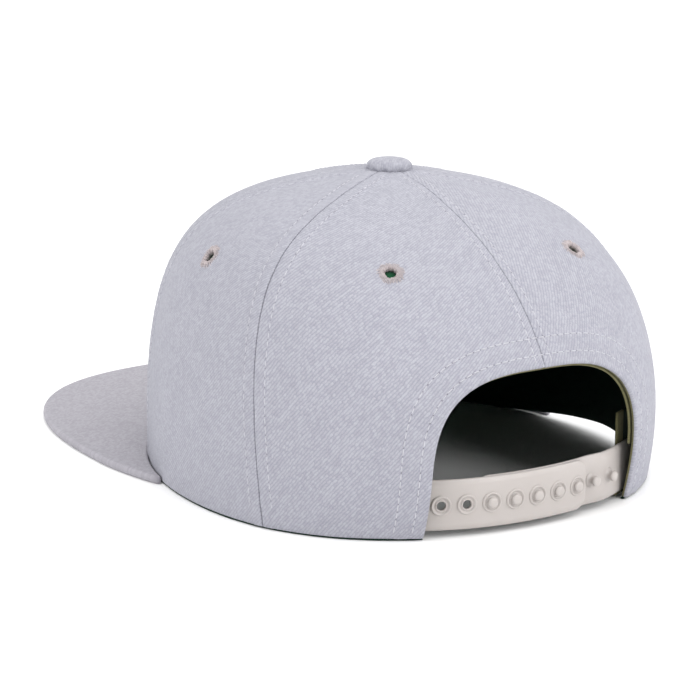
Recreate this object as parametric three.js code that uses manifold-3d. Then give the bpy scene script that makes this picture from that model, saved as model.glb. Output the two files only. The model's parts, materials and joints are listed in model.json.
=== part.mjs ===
// A snapback cap: a crown of six cloth panels, a flat visor, and a moulded strap closed on its pegs
// across the arch at the back. Lengths are in millimetres. +Z is up, the visor points along -Y and the
// wearer's left is +X. The origin is on the surface that the cap rests on, below the middle of its box.
import * as THREE from 'three';
import { mergeVertices } from 'three/addons/utils/BufferGeometryUtils.js';
import Module from 'manifold-3d';

const wasm = await Module();
wasm.setup();

// The crown's rim seen from above, and its height
const FRONT_LENGTH = 98;
const REAR_LENGTH = 94.7;
const HALF_WIDTH = 90.4;
const CROWN_HEIGHT = 113;
const RIM_EXPONENT = 2.17;
const RIM_EGG_SHARE = 0.06;
const TOP_SHIFT = -3;
const TOP_SLOPE = 0.106;

// The crown's profile from the rim up to the button, as shares of the rim's radius and of the height:
// how steeply the wall stands, where the shoulder turns, and how far the wall flares out above the rim
const PROFILE = {
  steepness: { front: 0.784, side: 0.832, rear: 0.62 },
  shoulder: { front: 0.892, side: 0.787, rear: 0.553 },
  flare: { front: 0.035, side: 0, rear: 0.317 },
};

// Cloth and clearances
const CLOTH_WALL = 1.8;
const GAP = 0.3;
const VISOR_SEAM_GAP = 0.45;
const BACK_PLATE_GAP = 0.45;
const FACING_GAP = 0.6;
const EYELET_LIP_GAP = 0.65;
const TOP_HOLE_RADIUS = 4;

// Seams run from the rim to the button. Two of them lie on the middle line, at the front and the back.
// The angle of the others is counted from the front towards the wearer's left, in degrees, and the bow
// is how far the seam swings at half height.
const SIDE_SEAM_ANGLE = 60;
const SIDE_SEAM_BOW_ANGLE = 1.5;
const REAR_SEAM_ANGLE = 116.9;
const REAR_SEAM_BOW_ANGLE = -3.9;
const FRONT_EYELET = { angle: 31, heightShare: 0.5 };
const SIDE_EYELET = { angle: 86.8, heightShare: 0.476 };
const REAR_EYELET = { angle: 147.9, heightShare: 0.556 };
const PANEL_COLUMNS = 9;
const PANEL_ROWS = 16;

// The arch over the strap, as seen from behind
const ARCH_HALF_WIDTH = 43.8;
const ARCH_HEIGHT = 57;
const ARCH_SPRING_HEIGHT = 18;
const ARCH_EXPONENT = 2.9;
const FACING_WIDTH = 11;
const FACING_WALL = 0.9;

// Eyelets and button
const EYELET_RADIUS = 4.8;
const EYELET_HOLE_RADIUS = 2;
const EYELET_BARREL_RADIUS = 2.9;
const EYELET_RISE = 0.9;
const BUTTON_RADIUS = 8.5;
const BUTTON_RISE = 3.2;
const BUTTON_TUCK = 1;
const BUTTON_DOME_EXPONENT = 0.8;
const SHANK_RADIUS = 2.6;
const BACK_PLATE_RADIUS = 6;
const BACK_PLATE_WALL = 0.8;

// The visor
const VISOR_PROJECTION = 73.6;
const VISOR_HALF_WIDTH = 95.8;
const VISOR_WIDEST_AT = 41.4;
const VISOR_EXPONENT = 2.66;
const VISOR_THICKNESS = 3.1;
const VISOR_END_ANGLE = 80;
const VISOR_END_WIDTH = 2;
const VISOR_EDGE_BEVEL = 0.7;

// The sweatband
const SWEATBAND_HEIGHT = 32;
const SWEATBAND_WALL = 1;
const SWEATBAND_LIFT = 0.6;

// The strap: each half is a flat moulding, bent round the back of the head
const STRAP_HEIGHT = 18.2;
const STRAP_LIFT = 2.5;
const STRAP_WALL = 1.4;
const STRAP_INSET_MIDDLE = 0.15;
const STRAP_TAIL = 12;
const STRAP_CORNER = 5;
const HOLE_COUNT = 7;
const HOLE_PITCH = 9.15;
const FIRST_HOLE = 38.3;
const HOLES_LEFT_OPEN = 2;
const HOLE_RADIUS = 1.6;
const RING_INNER_RADIUS = 2.75;
const RING_OUTER_RADIUS = 3.65;
const RING_RISE = 0.45;
const PEG_NECK_RADIUS = 1.3;
const PEG_HEAD_RADIUS = 1.95;
const PEG_HEAD_RISE = 1.3;
const END_MARGIN = 5.2;

const CLOTH_GREY = new THREE.MeshStandardMaterial({ color: 0xbdbdc8, roughness: 0.95, metalness: 0 });
const THREAD_BEIGE = new THREE.MeshStandardMaterial({ color: 0xd8cbc9, roughness: 0.7, metalness: 0 });
const LINING_GREEN = new THREE.MeshStandardMaterial({ color: 0x1f4a38, roughness: 0.9, metalness: 0 });
const TAPE_OLIVE = new THREE.MeshStandardMaterial({ color: 0x8a8660, roughness: 0.9, metalness: 0 });
const STRAP_PLASTIC = new THREE.MeshStandardMaterial({ color: 0xd6cfcc, roughness: 0.45, metalness: 0 });

const radians = THREE.MathUtils.degToRad;
const lerp = THREE.MathUtils.lerp;
const smoothstep = THREE.MathUtils.smoothstep;
const HALF_TURN = Math.PI;

function signedPower(value, power) {
  return Math.sign(value) * Math.abs(value) ** power;
}

// Finds where a rising function reaches a value
function solveRising(rise, target, low, high) {
  let [a, b] = [low, high];
  for (let step = 0; step < 50; step += 1) {
    const middle = (a + b) / 2;
    if (rise(middle) < target) a = middle;
    else b = middle;
  }
  return (a + b) / 2;
}

// The crown's surface
function aroundCrown(angle, row) {
  const forward = Math.cos(angle);
  const towardsEnd = forward > 0 ? row.front : row.rear;
  return lerp(row.side, towardsEnd, forward * forward);
}

function crownShares(angle, up) {
  const steepness = aroundCrown(angle, PROFILE.steepness);
  const shoulder = aroundCrown(angle, PROFILE.shoulder);
  const flare = aroundCrown(angle, PROFILE.flare);
  const down = 1 - up;
  const lowWeight = 3 * down * down * up;
  const highWeight = 3 * down * up * up;
  const radius = down ** 3 + lowWeight * (1 + flare) + highWeight * shoulder;
  const height = lowWeight * steepness + highWeight * (1 - TOP_SLOPE * shoulder) + up ** 3;
  return { radius, height };
}

function rimPoint(angle) {
  const sine = Math.sin(angle);
  const cosine = Math.cos(angle);
  const length = cosine > 0 ? FRONT_LENGTH : REAR_LENGTH;
  const x = HALF_WIDTH * signedPower(sine, 2 / RIM_EXPONENT) * (1 - RIM_EGG_SHARE * cosine);
  const y = -length * signedPower(cosine, 2 / RIM_EXPONENT);
  return new THREE.Vector3(x, y, 0);
}

function crownPoint(angle, up) {
  const { radius, height } = crownShares(angle, up);
  const point = rimPoint(angle).multiplyScalar(radius);
  point.y += TOP_SHIFT * height;
  point.z = CROWN_HEIGHT * height;
  return point;
}

const SMALL_STEP = 1e-4;

function crownTangent(angle, up) {
  const ahead = crownPoint(angle + SMALL_STEP, up);
  return ahead.sub(crownPoint(angle - SMALL_STEP, up)).divideScalar(2 * SMALL_STEP);
}

function crownNormal(angle, up) {
  const upward = crownPoint(angle, up + SMALL_STEP).sub(crownPoint(angle, Math.max(0, up - SMALL_STEP)));
  return crownTangent(angle, up).cross(upward).normalize();
}

// A point of the crown's wall at a depth below its outer face. The rim's edge stays level.
function wallPoint(angle, up, depth) {
  const point = crownPoint(angle, up).addScaledVector(crownNormal(angle, up), -depth);
  if (up === 0) point.z = 0;
  return point;
}

// The way out of the crown at its rim, level
function rimOutward(angle) {
  return crownTangent(angle, 0).cross(new THREE.Vector3(0, 0, 1)).normalize();
}

// Where the crown comes in to a distance from the button's axis
function upAtDistance(angle, distance) {
  const closeness = (up) => {
    const point = crownPoint(angle, up);
    return -Math.hypot(point.x, point.y - TOP_SHIFT * crownShares(angle, up).height);
  };
  return solveRising(closeness, -distance, 0.5, 1);
}

function heightsNearTop(distance, depth) {
  const quarterTurns = [0, 1, 2].map((quarters) => (quarters * HALF_TURN) / 2);
  return quarterTurns.map((angle) => wallPoint(angle, upAtDistance(angle, distance), depth).z);
}

function upAtHeight(angle, height) {
  return solveRising((up) => crownPoint(angle, up).z, height, 0, 1);
}

// The angle behind the side where the rim comes in to a distance from the middle
function rearAngleAtWidth(width) {
  return solveRising((angle) => -rimPoint(angle).x, -width, HALF_TURN / 2, HALF_TURN);
}

// Closed solids from grids of points: rows go up, columns go round the crown
function pushQuad(positions, a, b, c, d) {
  for (const point of [a, b, c, a, c, d]) positions.push(point.x, point.y, point.z);
}

function shellGeometry(outer, inner) {
  const positions = [];
  const lastRow = outer.length - 1;
  const lastColumn = outer[0].length - 1;
  for (let i = 0; i < lastRow; i += 1) {
    for (let j = 0; j < lastColumn; j += 1) {
      pushQuad(positions, outer[i][j], outer[i][j + 1], outer[i + 1][j + 1], outer[i + 1][j]);
      pushQuad(positions, inner[i][j + 1], inner[i][j], inner[i + 1][j], inner[i + 1][j + 1]);
    }
    pushQuad(positions, inner[i][0], outer[i][0], outer[i + 1][0], inner[i + 1][0]);
    pushQuad(positions, outer[i][lastColumn], inner[i][lastColumn], inner[i + 1][lastColumn],
      outer[i + 1][lastColumn]);
  }
  for (let j = 0; j < lastColumn; j += 1) {
    pushQuad(positions, inner[0][j], inner[0][j + 1], outer[0][j + 1], outer[0][j]);
    pushQuad(positions, outer[lastRow][j], outer[lastRow][j + 1], inner[lastRow][j + 1], inner[lastRow][j]);
  }
  const geometry = new THREE.BufferGeometry();
  geometry.setAttribute('position', new THREE.Float32BufferAttribute(positions, 3));
  return geometry;
}

function grid(rowCount, columnCount, pointAt) {
  const rows = [];
  for (let i = 0; i <= rowCount; i += 1) {
    const row = [];
    for (let j = 0; j <= columnCount; j += 1) row.push(pointAt(i / rowCount, j / columnCount));
    rows.push(row);
  }
  return rows;
}

// Joining and cutting
function toSolid(geometry) {
  const bare = geometry.clone();
  bare.deleteAttribute('normal');
  bare.deleteAttribute('uv');
  const merged = mergeVertices(bare, 1e-4);
  const vertProperties = new Float32Array(merged.attributes.position.array);
  const triVerts = new Uint32Array(merged.index.array);
  return new wasm.Manifold(new wasm.Mesh({ numProp: 3, vertProperties, triVerts }));
}

function toGeometry(solid) {
  const mesh = solid.getMesh();
  const geometry = new THREE.BufferGeometry();
  geometry.setAttribute('position', new THREE.Float32BufferAttribute(mesh.vertProperties, mesh.numProp));
  geometry.setIndex(Array.from(mesh.triVerts));
  return geometry;
}

// Stands a geometry that was made along +Y at a place, along a direction
function standAt(geometry, place, direction) {
  const turn = new THREE.Quaternion().setFromUnitVectors(new THREE.Vector3(0, 1, 0), direction);
  return geometry.applyQuaternion(turn).translate(place.x, place.y, place.z);
}

function latheGeometry(points, sides) {
  return new THREE.LatheGeometry(points.map(([radius, height]) => new THREE.Vector2(radius, height)), sides);
}

// A prism of an outline seen from behind, which runs through the back of the crown
function throughBack(outline) {
  const settings = { depth: REAR_LENGTH, bevelEnabled: false };
  const geometry = new THREE.ExtrudeGeometry(new THREE.Shape(outline), settings);
  return geometry.rotateX(HALF_TURN / 2).translate(0, 1.4 * REAR_LENGTH, 0);
}

function archOutline(margin) {
  const halfWidth = ARCH_HALF_WIDTH + margin;
  const rise = ARCH_HEIGHT + margin - ARCH_SPRING_HEIGHT;
  const steps = 24;
  const outline = [-halfWidth, halfWidth].map((x) => new THREE.Vector2(x, -ARCH_SPRING_HEIGHT));
  for (let step = 0; step <= steps; step += 1) {
    const turn = (HALF_TURN * step) / steps;
    const x = halfWidth * signedPower(Math.cos(turn), 2 / ARCH_EXPONENT);
    const z = ARCH_SPRING_HEIGHT + rise * signedPower(Math.sin(turn), 2 / ARCH_EXPONENT);
    outline.push(new THREE.Vector2(x, z));
  }
  return outline;
}

// The crown's panels, each from one seam to the next
const frontSeam = () => 0;
const sideSeam = (up) => radians(SIDE_SEAM_ANGLE + SIDE_SEAM_BOW_ANGLE * Math.sin(HALF_TURN * up));
const rearSeam = (up) => radians(REAR_SEAM_ANGLE + REAR_SEAM_BOW_ANGLE * Math.sin(HALF_TURN * up));
const backSeam = () => HALF_TURN;
const PANELS = [
  { name: 'front', from: frontSeam, to: sideSeam, eyelet: FRONT_EYELET },
  { name: 'side', from: sideSeam, to: rearSeam, eyelet: SIDE_EYELET },
  { name: 'rear', from: rearSeam, to: backSeam, eyelet: REAR_EYELET },
];

function panelSolid(panel) {
  const pointAt = (depth) => (rowShare, columnShare) => {
    const start = panel.from(rowShare);
    const end = panel.to(rowShare);
    const startGap = GAP / 2 / crownTangent(start, rowShare * upAtDistance(start, TOP_HOLE_RADIUS)).length();
    const endGap = GAP / 2 / crownTangent(end, rowShare * upAtDistance(end, TOP_HOLE_RADIUS)).length();
    const angle = lerp(start + startGap, end - endGap, columnShare);
    return wallPoint(angle, rowShare * upAtDistance(angle, TOP_HOLE_RADIUS), depth);
  };
  const outer = grid(PANEL_ROWS, PANEL_COLUMNS, pointAt(0));
  const inner = grid(PANEL_ROWS, PANEL_COLUMNS, pointAt(CLOTH_WALL));
  return toSolid(shellGeometry(outer, inner));
}

function eyeletPlace({ eyelet }) {
  const angle = radians(eyelet.angle);
  const place = crownPoint(angle, eyelet.heightShare);
  return { place, outward: crownNormal(angle, eyelet.heightShare) };
}

const EYELET_SIDES = 14;

function eyeletHole(panel) {
  const radius = EYELET_BARREL_RADIUS + GAP;
  const length = 6 * CLOTH_WALL;
  const { place, outward } = eyeletPlace(panel);
  return toSolid(standAt(new THREE.CylinderGeometry(radius, radius, length, EYELET_SIDES), place, outward));
}

// The embroidered ring: a lip on each face of the cloth, and the stitches that pass through its hole
function eyeletGeometry(panel) {
  const innerLipTop = -CLOTH_WALL - EYELET_LIP_GAP;
  const points = [
    [EYELET_HOLE_RADIUS, innerLipTop - EYELET_RISE / 2],
    [EYELET_RADIUS - EYELET_RISE, innerLipTop - EYELET_RISE / 2],
    [EYELET_RADIUS - EYELET_RISE / 2, innerLipTop],
    [EYELET_BARREL_RADIUS, innerLipTop],
    [EYELET_BARREL_RADIUS, GAP],
    [EYELET_RADIUS, GAP],
    [EYELET_RADIUS - EYELET_RISE / 3, EYELET_RISE],
    [EYELET_HOLE_RADIUS + EYELET_RISE / 2, EYELET_RISE],
    [EYELET_HOLE_RADIUS, EYELET_RISE / 3],
  ];
  points.push(points[0]);
  const { place, outward } = eyeletPlace(panel);
  return standAt(latheGeometry(points, EYELET_SIDES), place, outward);
}

// The button sits on the crown's top, and its shank goes through to a plate inside
function buttonGeometry() {
  const seat = Math.max(...heightsNearTop(TOP_HOLE_RADIUS, 0)) + GAP;
  const underside = Math.max(...heightsNearTop(BUTTON_RADIUS, 0)) + GAP;
  const plateTop = Math.min(...heightsNearTop(BACK_PLATE_RADIUS, CLOTH_WALL)) - BACK_PLATE_GAP;
  const points = [
    [0, plateTop - BACK_PLATE_WALL],
    [BACK_PLATE_RADIUS, plateTop - BACK_PLATE_WALL],
    [BACK_PLATE_RADIUS, plateTop],
    [SHANK_RADIUS, plateTop],
    [SHANK_RADIUS, seat + GAP],
    [BUTTON_RADIUS - BUTTON_TUCK, underside + GAP],
  ];
  const domeSteps = 7;
  const domeBase = underside + GAP + BUTTON_TUCK;
  for (let step = 0; step < domeSteps; step += 1) {
    const turn = (HALF_TURN / 2) * (step / domeSteps);
    const height = domeBase + (CROWN_HEIGHT + BUTTON_RISE - domeBase) * Math.sin(turn);
    points.push([BUTTON_RADIUS * Math.cos(turn) ** BUTTON_DOME_EXPONENT, height]);
  }
  points.push([0, CROWN_HEIGHT + BUTTON_RISE]);
  const axisFoot = new THREE.Vector3(0, TOP_SHIFT, 0);
  return standAt(latheGeometry(points, 24), axisFoot, new THREE.Vector3(0, 0, 1));
}

// The visor: its front is one broad curve, its ends run out in narrow strips along the rim
function visorOutline() {
  const outline = [];
  const frontY = -(FRONT_LENGTH + VISOR_PROJECTION);
  const widestY = VISOR_WIDEST_AT - FRONT_LENGTH;
  const endAngle = radians(VISOR_END_ANGLE);
  const endPoint = rimPoint(endAngle).addScaledVector(rimOutward(endAngle), VISOR_SEAM_GAP + VISOR_END_WIDTH);
  const sideReturn = new THREE.QuadraticBezierCurve(
    new THREE.Vector2(endPoint.x, endPoint.y),
    new THREE.Vector2(VISOR_HALF_WIDTH, lerp(endPoint.y, widestY, 0.6)),
    new THREE.Vector2(VISOR_HALF_WIDTH, widestY),
  );
  const returnPoints = sideReturn.getPoints(7);
  outline.push(...returnPoints);
  const frontSteps = 36;
  for (let step = 1; step < frontSteps; step += 1) {
    const turn = (HALF_TURN * step) / frontSteps;
    const x = VISOR_HALF_WIDTH * signedPower(Math.cos(turn), 2 / VISOR_EXPONENT);
    const y = widestY + (frontY - widestY) * signedPower(Math.sin(turn), 2 / VISOR_EXPONENT);
    outline.push(new THREE.Vector2(x, y));
  }
  outline.push(...returnPoints.map((point) => new THREE.Vector2(-point.x, point.y)).reverse());
  const rimSteps = 28;
  for (let step = 0; step <= rimSteps; step += 1) {
    const angle = lerp(-endAngle, endAngle, step / rimSteps);
    const point = rimPoint(angle).addScaledVector(rimOutward(angle), VISOR_SEAM_GAP);
    outline.push(new THREE.Vector2(point.x, point.y));
  }
  return outline;
}

function visorGeometry() {
  const settings = {
    depth: VISOR_THICKNESS - 2 * VISOR_EDGE_BEVEL,
    bevelEnabled: true,
    bevelThickness: VISOR_EDGE_BEVEL,
    bevelSize: VISOR_EDGE_BEVEL,
    bevelOffset: -VISOR_EDGE_BEVEL,
    bevelSegments: 1,
  };
  const geometry = new THREE.ExtrudeGeometry(new THREE.Shape(visorOutline()), settings);
  return geometry.translate(0, 0, VISOR_EDGE_BEVEL);
}

// The strap's line seen from above follows the rim, a little inside it, and its middle stands out to
// the rim's own line. Places along it are measured from the middle of the back, towards the left.
const STRAP_INSET_EDGE = CLOTH_WALL + GAP;

function strapLinePoint(angle, extraInset) {
  const point = rimPoint(angle);
  const share = Math.min(1, Math.abs(point.x) / ARCH_HALF_WIDTH);
  const inset = lerp(STRAP_INSET_MIDDLE, STRAP_INSET_EDGE, share * share) + extraInset;
  return point.addScaledVector(rimOutward(angle), -inset);
}

const STATION_STEP = radians(0.5);
const stations = [{ angle: HALF_TURN, along: 0 }];
while (stations.at(-1).angle > HALF_TURN / 2) {
  const last = stations.at(-1);
  const angle = last.angle - STATION_STEP;
  const length = strapLinePoint(angle, 0).distanceTo(strapLinePoint(last.angle, 0));
  stations.push({ angle, along: last.along + length });
}

function angleAlongStrap(along) {
  const distance = Math.abs(along);
  const next = Math.max(1, stations.findIndex((station) => station.along >= distance));
  const [a, b] = [stations[next - 1], stations[next]];
  const angle = lerp(a.angle, b.angle, (distance - a.along) / (b.along - a.along));
  return along < 0 ? 2 * HALF_TURN - angle : angle;
}

const ARCH_EDGE_ANGLE = rearAngleAtWidth(ARCH_HALF_WIDTH);
const ARCH_EDGE_ALONG = stations.find((station) => station.angle <= ARCH_EDGE_ANGLE).along;
const TAIL_ALONG = ARCH_EDGE_ALONG + STRAP_TAIL;
const LAST_HOLE = FIRST_HOLE - (HOLE_COUNT - 1) * HOLE_PITCH;
const LEFT_STRAP_END = LAST_HOLE - END_MARGIN;
const FIRST_PEG = FIRST_HOLE - HOLES_LEFT_OPEN * HOLE_PITCH;
const RIGHT_STRAP_END = FIRST_PEG + END_MARGIN;
const LAYER_STEP = STRAP_WALL + GAP;
const STRAP_MIDDLE_HEIGHT = STRAP_LIFT + STRAP_HEIGHT / 2;

// The strap from the right lies under the other as far as that one's end, then steps out to its line
function underInset(along) {
  const share = smoothstep(-along, -LEFT_STRAP_END + 2 * GAP, -LEFT_STRAP_END + STRAP_TAIL);
  return LAYER_STEP * (1 - share);
}

// A strip from its tail to its free end, whose corners are rounded
function strapSolid(tail, end, insetAt) {
  const inward = Math.sign(tail - end);
  const cornerSteps = 4;
  const bodySteps = 22;
  const marks = [];
  for (let step = 0; step <= cornerSteps; step += 1) {
    const turn = (HALF_TURN / 2) * (step / cornerSteps);
    const along = end + inward * STRAP_CORNER * (1 - Math.cos(turn));
    marks.push({ along, halfHeight: STRAP_HEIGHT / 2 - STRAP_CORNER * (1 - Math.sin(turn)) });
  }
  const bodyStart = marks.at(-1).along;
  for (let step = 1; step <= bodySteps; step += 1) {
    marks.push({ along: lerp(bodyStart, tail, step / bodySteps), halfHeight: STRAP_HEIGHT / 2 });
  }
  if (inward < 0) marks.reverse();
  const rowsAt = (depth) => [-1, 1].map((side) => marks.map(({ along, halfHeight }) => {
    const point = strapLinePoint(angleAlongStrap(along), insetAt(along) + depth);
    return point.setZ(STRAP_MIDDLE_HEIGHT + side * halfHeight);
  }).reverse());
  return toSolid(shellGeometry(rowsAt(0), rowsAt(STRAP_WALL)));
}

function onStrap(geometry, along, inset) {
  const angle = angleAlongStrap(along);
  const ahead = strapLinePoint(angle + SMALL_STEP, inset);
  const outward = ahead.sub(strapLinePoint(angle - SMALL_STEP, inset)).cross(new THREE.Vector3(0, 0, 1));
  const place = strapLinePoint(angle, inset).setZ(STRAP_MIDDLE_HEIGHT);
  return toSolid(standAt(geometry, place, outward.normalize()));
}

function strapLeftGeometry() {
  let strap = strapSolid(TAIL_ALONG, LEFT_STRAP_END, () => 0);
  for (let index = 0; index < HOLE_COUNT; index += 1) {
    const along = FIRST_HOLE - index * HOLE_PITCH;
    const foot = -STRAP_WALL / 2;
    const ring = [
      [RING_INNER_RADIUS, foot],
      [RING_OUTER_RADIUS, foot],
      [RING_OUTER_RADIUS, RING_RISE / 2],
      [lerp(RING_INNER_RADIUS, RING_OUTER_RADIUS, 0.5), RING_RISE],
      [RING_INNER_RADIUS, RING_RISE / 2],
      [RING_INNER_RADIUS, foot],
    ];
    strap = strap.add(onStrap(latheGeometry(ring, 14), along, 0));
    const hole = new THREE.CylinderGeometry(HOLE_RADIUS, HOLE_RADIUS, 6 * STRAP_WALL, 12);
    strap = strap.subtract(onStrap(hole, along, 0));
  }
  return toGeometry(strap);
}

function strapRightGeometry() {
  let strap = strapSolid(-TAIL_ALONG, RIGHT_STRAP_END, underInset);
  const neckTop = STRAP_WALL + 2 * GAP;
  const peg = [
    [0, -STRAP_WALL / 2],
    [PEG_NECK_RADIUS, -STRAP_WALL / 2],
    [PEG_NECK_RADIUS, neckTop],
    [PEG_HEAD_RADIUS, neckTop],
    [PEG_HEAD_RADIUS, neckTop + PEG_HEAD_RISE / 2],
    [PEG_HEAD_RADIUS - PEG_HEAD_RISE / 2, neckTop + PEG_HEAD_RISE],
    [0, neckTop + PEG_HEAD_RISE],
  ];
  for (let index = 0; index < HOLE_COUNT; index += 1) {
    const along = FIRST_PEG - index * HOLE_PITCH;
    strap = strap.add(onStrap(latheGeometry(peg, 12), along, underInset(along)));
  }
  return toGeometry(strap);
}

// The sweatband stands straight up from the rim, or follows the crown where that leans in. Its ends
// pass inside the strap's tails.
function sweatbandGeometry() {
  const endAngle = rearAngleAtWidth(ARCH_HALF_WIDTH + GAP);
  const tailAngle = angleAlongStrap(TAIL_ALONG);
  const easeAngle = tailAngle - radians(9);
  const pointAt = (depth) => (rowShare, columnShare) => {
    const angle = lerp(-endAngle, endAngle, columnShare);
    const height = lerp(SWEATBAND_LIFT, SWEATBAND_HEIGHT, rowShare);
    const { radius } = crownShares(angle, upAtHeight(angle, height));
    const layer = LAYER_STEP * smoothstep(Math.abs(angle), easeAngle, tailAngle - radians(1));
    const point = rimPoint(angle).multiplyScalar(Math.min(1, radius));
    point.addScaledVector(rimOutward(angle), -(CLOTH_WALL + GAP + layer + depth));
    return point.setZ(height);
  };
  return shellGeometry(grid(3, 56, pointAt(0)), grid(3, 56, pointAt(SWEATBAND_WALL)));
}

// The facing lies on the inside of the cloth along the arch, above the strap
function archFacingGeometry() {
  const reach = radians(42);
  const topUp = upAtHeight(HALF_TURN, ARCH_HEIGHT + 1.5 * FACING_WIDTH);
  const pointAt = (depth) => (rowShare, columnShare) => {
    const angle = lerp(HALF_TURN - reach, HALF_TURN + reach, columnShare);
    return wallPoint(angle, rowShare * topUp, depth);
  };
  const near = grid(9, 14, pointAt(CLOTH_WALL + FACING_GAP));
  const far = grid(9, 14, pointAt(CLOTH_WALL + FACING_GAP + FACING_WALL));
  const sheet = toSolid(shellGeometry(near, far));
  const band = toSolid(throughBack(archOutline(FACING_WIDTH))).subtract(toSolid(throughBack(archOutline(0))));
  const bottom = STRAP_LIFT + STRAP_HEIGHT + 2 * GAP;
  const below = new THREE.BoxGeometry(4 * HALF_WIDTH, 4 * REAR_LENGTH, 2 * bottom);
  return toGeometry(sheet.intersect(band).subtract(toSolid(below)));
}

// The cap
const cap = new THREE.Group();

function addMesh(name, geometry, material) {
  const mesh = new THREE.Mesh(geometry, material);
  mesh.name = name;
  cap.add(mesh);
}

// The wearer's left half is built, and the right is its mirror image
function mirrored(geometry) {
  return toGeometry(toSolid(geometry).mirror([1, 0, 0]));
}

for (const panel of PANELS) {
  let solid = panelSolid(panel).subtract(eyeletHole(panel));
  if (panel.name === 'rear') solid = solid.subtract(toSolid(throughBack(archOutline(0))));
  const eyelet = eyeletGeometry(panel);
  addMesh(`panel_${panel.name}_left`, toGeometry(solid), CLOTH_GREY);
  addMesh(`panel_${panel.name}_right`, mirrored(toGeometry(solid)), CLOTH_GREY);
  addMesh(`eyelet_${panel.name}_left`, eyelet, THREAD_BEIGE);
  addMesh(`eyelet_${panel.name}_right`, mirrored(eyelet), THREAD_BEIGE);
}
const button = buttonGeometry();
addMesh('button', button, CLOTH_GREY);
addMesh('visor', visorGeometry(), CLOTH_GREY);
addMesh('sweatband', sweatbandGeometry(), LINING_GREEN);
addMesh('arch_facing', archFacingGeometry(), TAPE_OLIVE);
addMesh('strap_left', strapLeftGeometry(), STRAP_PLASTIC);
addMesh('strap_right', strapRightGeometry(), STRAP_PLASTIC);

// The middle of the cap's length goes over the origin
const box = new THREE.Box3().setFromObject(cap);
cap.position.y = -(box.min.y + box.max.y) / 2;

export default cap;
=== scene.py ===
# %% [markdown]
# # A snapback cap
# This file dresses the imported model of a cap: six cloth panels, a covered button, a flat visor, vent
# eyelets, a sweatband, and a plastic strap that snaps shut across an arch at the back. Every piece is
# made in metres, in the model's own frame: +Z is up, the visor points along -Y, the wearer's left is +X.

# %% Load the frame
import json
import math

import bpy
import numpy as np
from mathutils import Matrix, Vector, noise
from mathutils.bvhtree import BVHTree

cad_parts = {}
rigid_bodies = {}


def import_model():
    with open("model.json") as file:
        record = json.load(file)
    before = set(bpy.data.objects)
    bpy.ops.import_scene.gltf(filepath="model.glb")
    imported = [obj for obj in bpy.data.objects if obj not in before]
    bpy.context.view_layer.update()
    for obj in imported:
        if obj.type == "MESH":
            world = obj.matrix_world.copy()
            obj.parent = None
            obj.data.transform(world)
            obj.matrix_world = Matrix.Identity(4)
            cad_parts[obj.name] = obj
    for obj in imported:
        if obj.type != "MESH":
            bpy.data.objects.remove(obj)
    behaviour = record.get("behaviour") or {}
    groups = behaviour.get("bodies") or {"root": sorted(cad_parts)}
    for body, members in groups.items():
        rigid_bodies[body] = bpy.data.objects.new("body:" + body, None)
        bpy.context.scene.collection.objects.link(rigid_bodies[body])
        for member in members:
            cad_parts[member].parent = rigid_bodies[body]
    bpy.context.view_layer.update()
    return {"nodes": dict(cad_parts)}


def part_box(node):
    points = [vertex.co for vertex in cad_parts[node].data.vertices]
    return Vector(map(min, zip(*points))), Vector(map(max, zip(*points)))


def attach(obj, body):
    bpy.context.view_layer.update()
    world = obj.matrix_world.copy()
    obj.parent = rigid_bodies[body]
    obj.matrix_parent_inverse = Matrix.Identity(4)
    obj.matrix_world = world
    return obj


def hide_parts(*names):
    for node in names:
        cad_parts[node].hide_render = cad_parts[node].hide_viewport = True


for startup_object in list(bpy.data.objects):
    bpy.data.objects.remove(startup_object)
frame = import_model()
MM = 0.001
print("nodes in the frame:", len(frame["nodes"]))

# %% [markdown]
# ## Camera, floor and light
# The photo was taken from behind and a little to the left of the wearer, with a long lens from almost a
# metre away. A long lens keeps the visor and the arch at nearly the same scale. The camera's place and
# its aim were fitted to the cap's outline. The table is pale and plain. A wide silk overhead gives most
# of the light, two small softboxes stand low on the right and a larger one on the left, and the sky is
# dim, so that the hollow behind the arch stays dark.

# %% Camera
CAMERA_PLACE = Vector((487.83, 773.69, 262.77)) * MM
CAMERA_AIM = Vector((13.31, 28.90, 43.26)) * MM
CAMERA_ROLL = math.radians(0.118)
LENS_MM = 124.19

camera = bpy.data.objects.new("camera", bpy.data.cameras.new("camera"))
forward = (CAMERA_AIM - CAMERA_PLACE).normalized()
level_right = forward.cross(Vector((0, 0, 1))).normalized()
level_up = level_right.cross(forward)
right = level_right * math.cos(CAMERA_ROLL) + level_up * math.sin(CAMERA_ROLL)
upward = level_up * math.cos(CAMERA_ROLL) - level_right * math.sin(CAMERA_ROLL)
turn = Matrix((right, upward, -forward)).transposed().to_4x4()
camera.matrix_world = Matrix.Translation(CAMERA_PLACE) @ turn
camera.data.lens = LENS_MM
camera.data.sensor_width = 36
camera.data.clip_end = 50
bpy.context.scene.collection.objects.link(camera)
bpy.context.scene.camera = camera
print("camera stands", round(CAMERA_PLACE.length, 3), "m from the cap's foot")

# %% Helpers for materials: colours as hex, and one function that adds a node
EXPOSURE = 1.45


def linear(hex_colour):
    """An sRGB hex colour as the linear RGBA that the shaders want."""
    channels = [int(hex_colour[i : i + 2], 16) / 255 for i in (1, 3, 5)]
    return (*[c / 12.92 if c <= 0.04045 else ((c + 0.055) / 1.055) ** 2.4 for c in channels], 1)


def seen(hex_colour):
    """The reflectance of a colour that the lit photo shows, which is brighter than the cloth itself."""
    return (*[channel / EXPOSURE for channel in linear(hex_colour)[:3]], 1)


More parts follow.
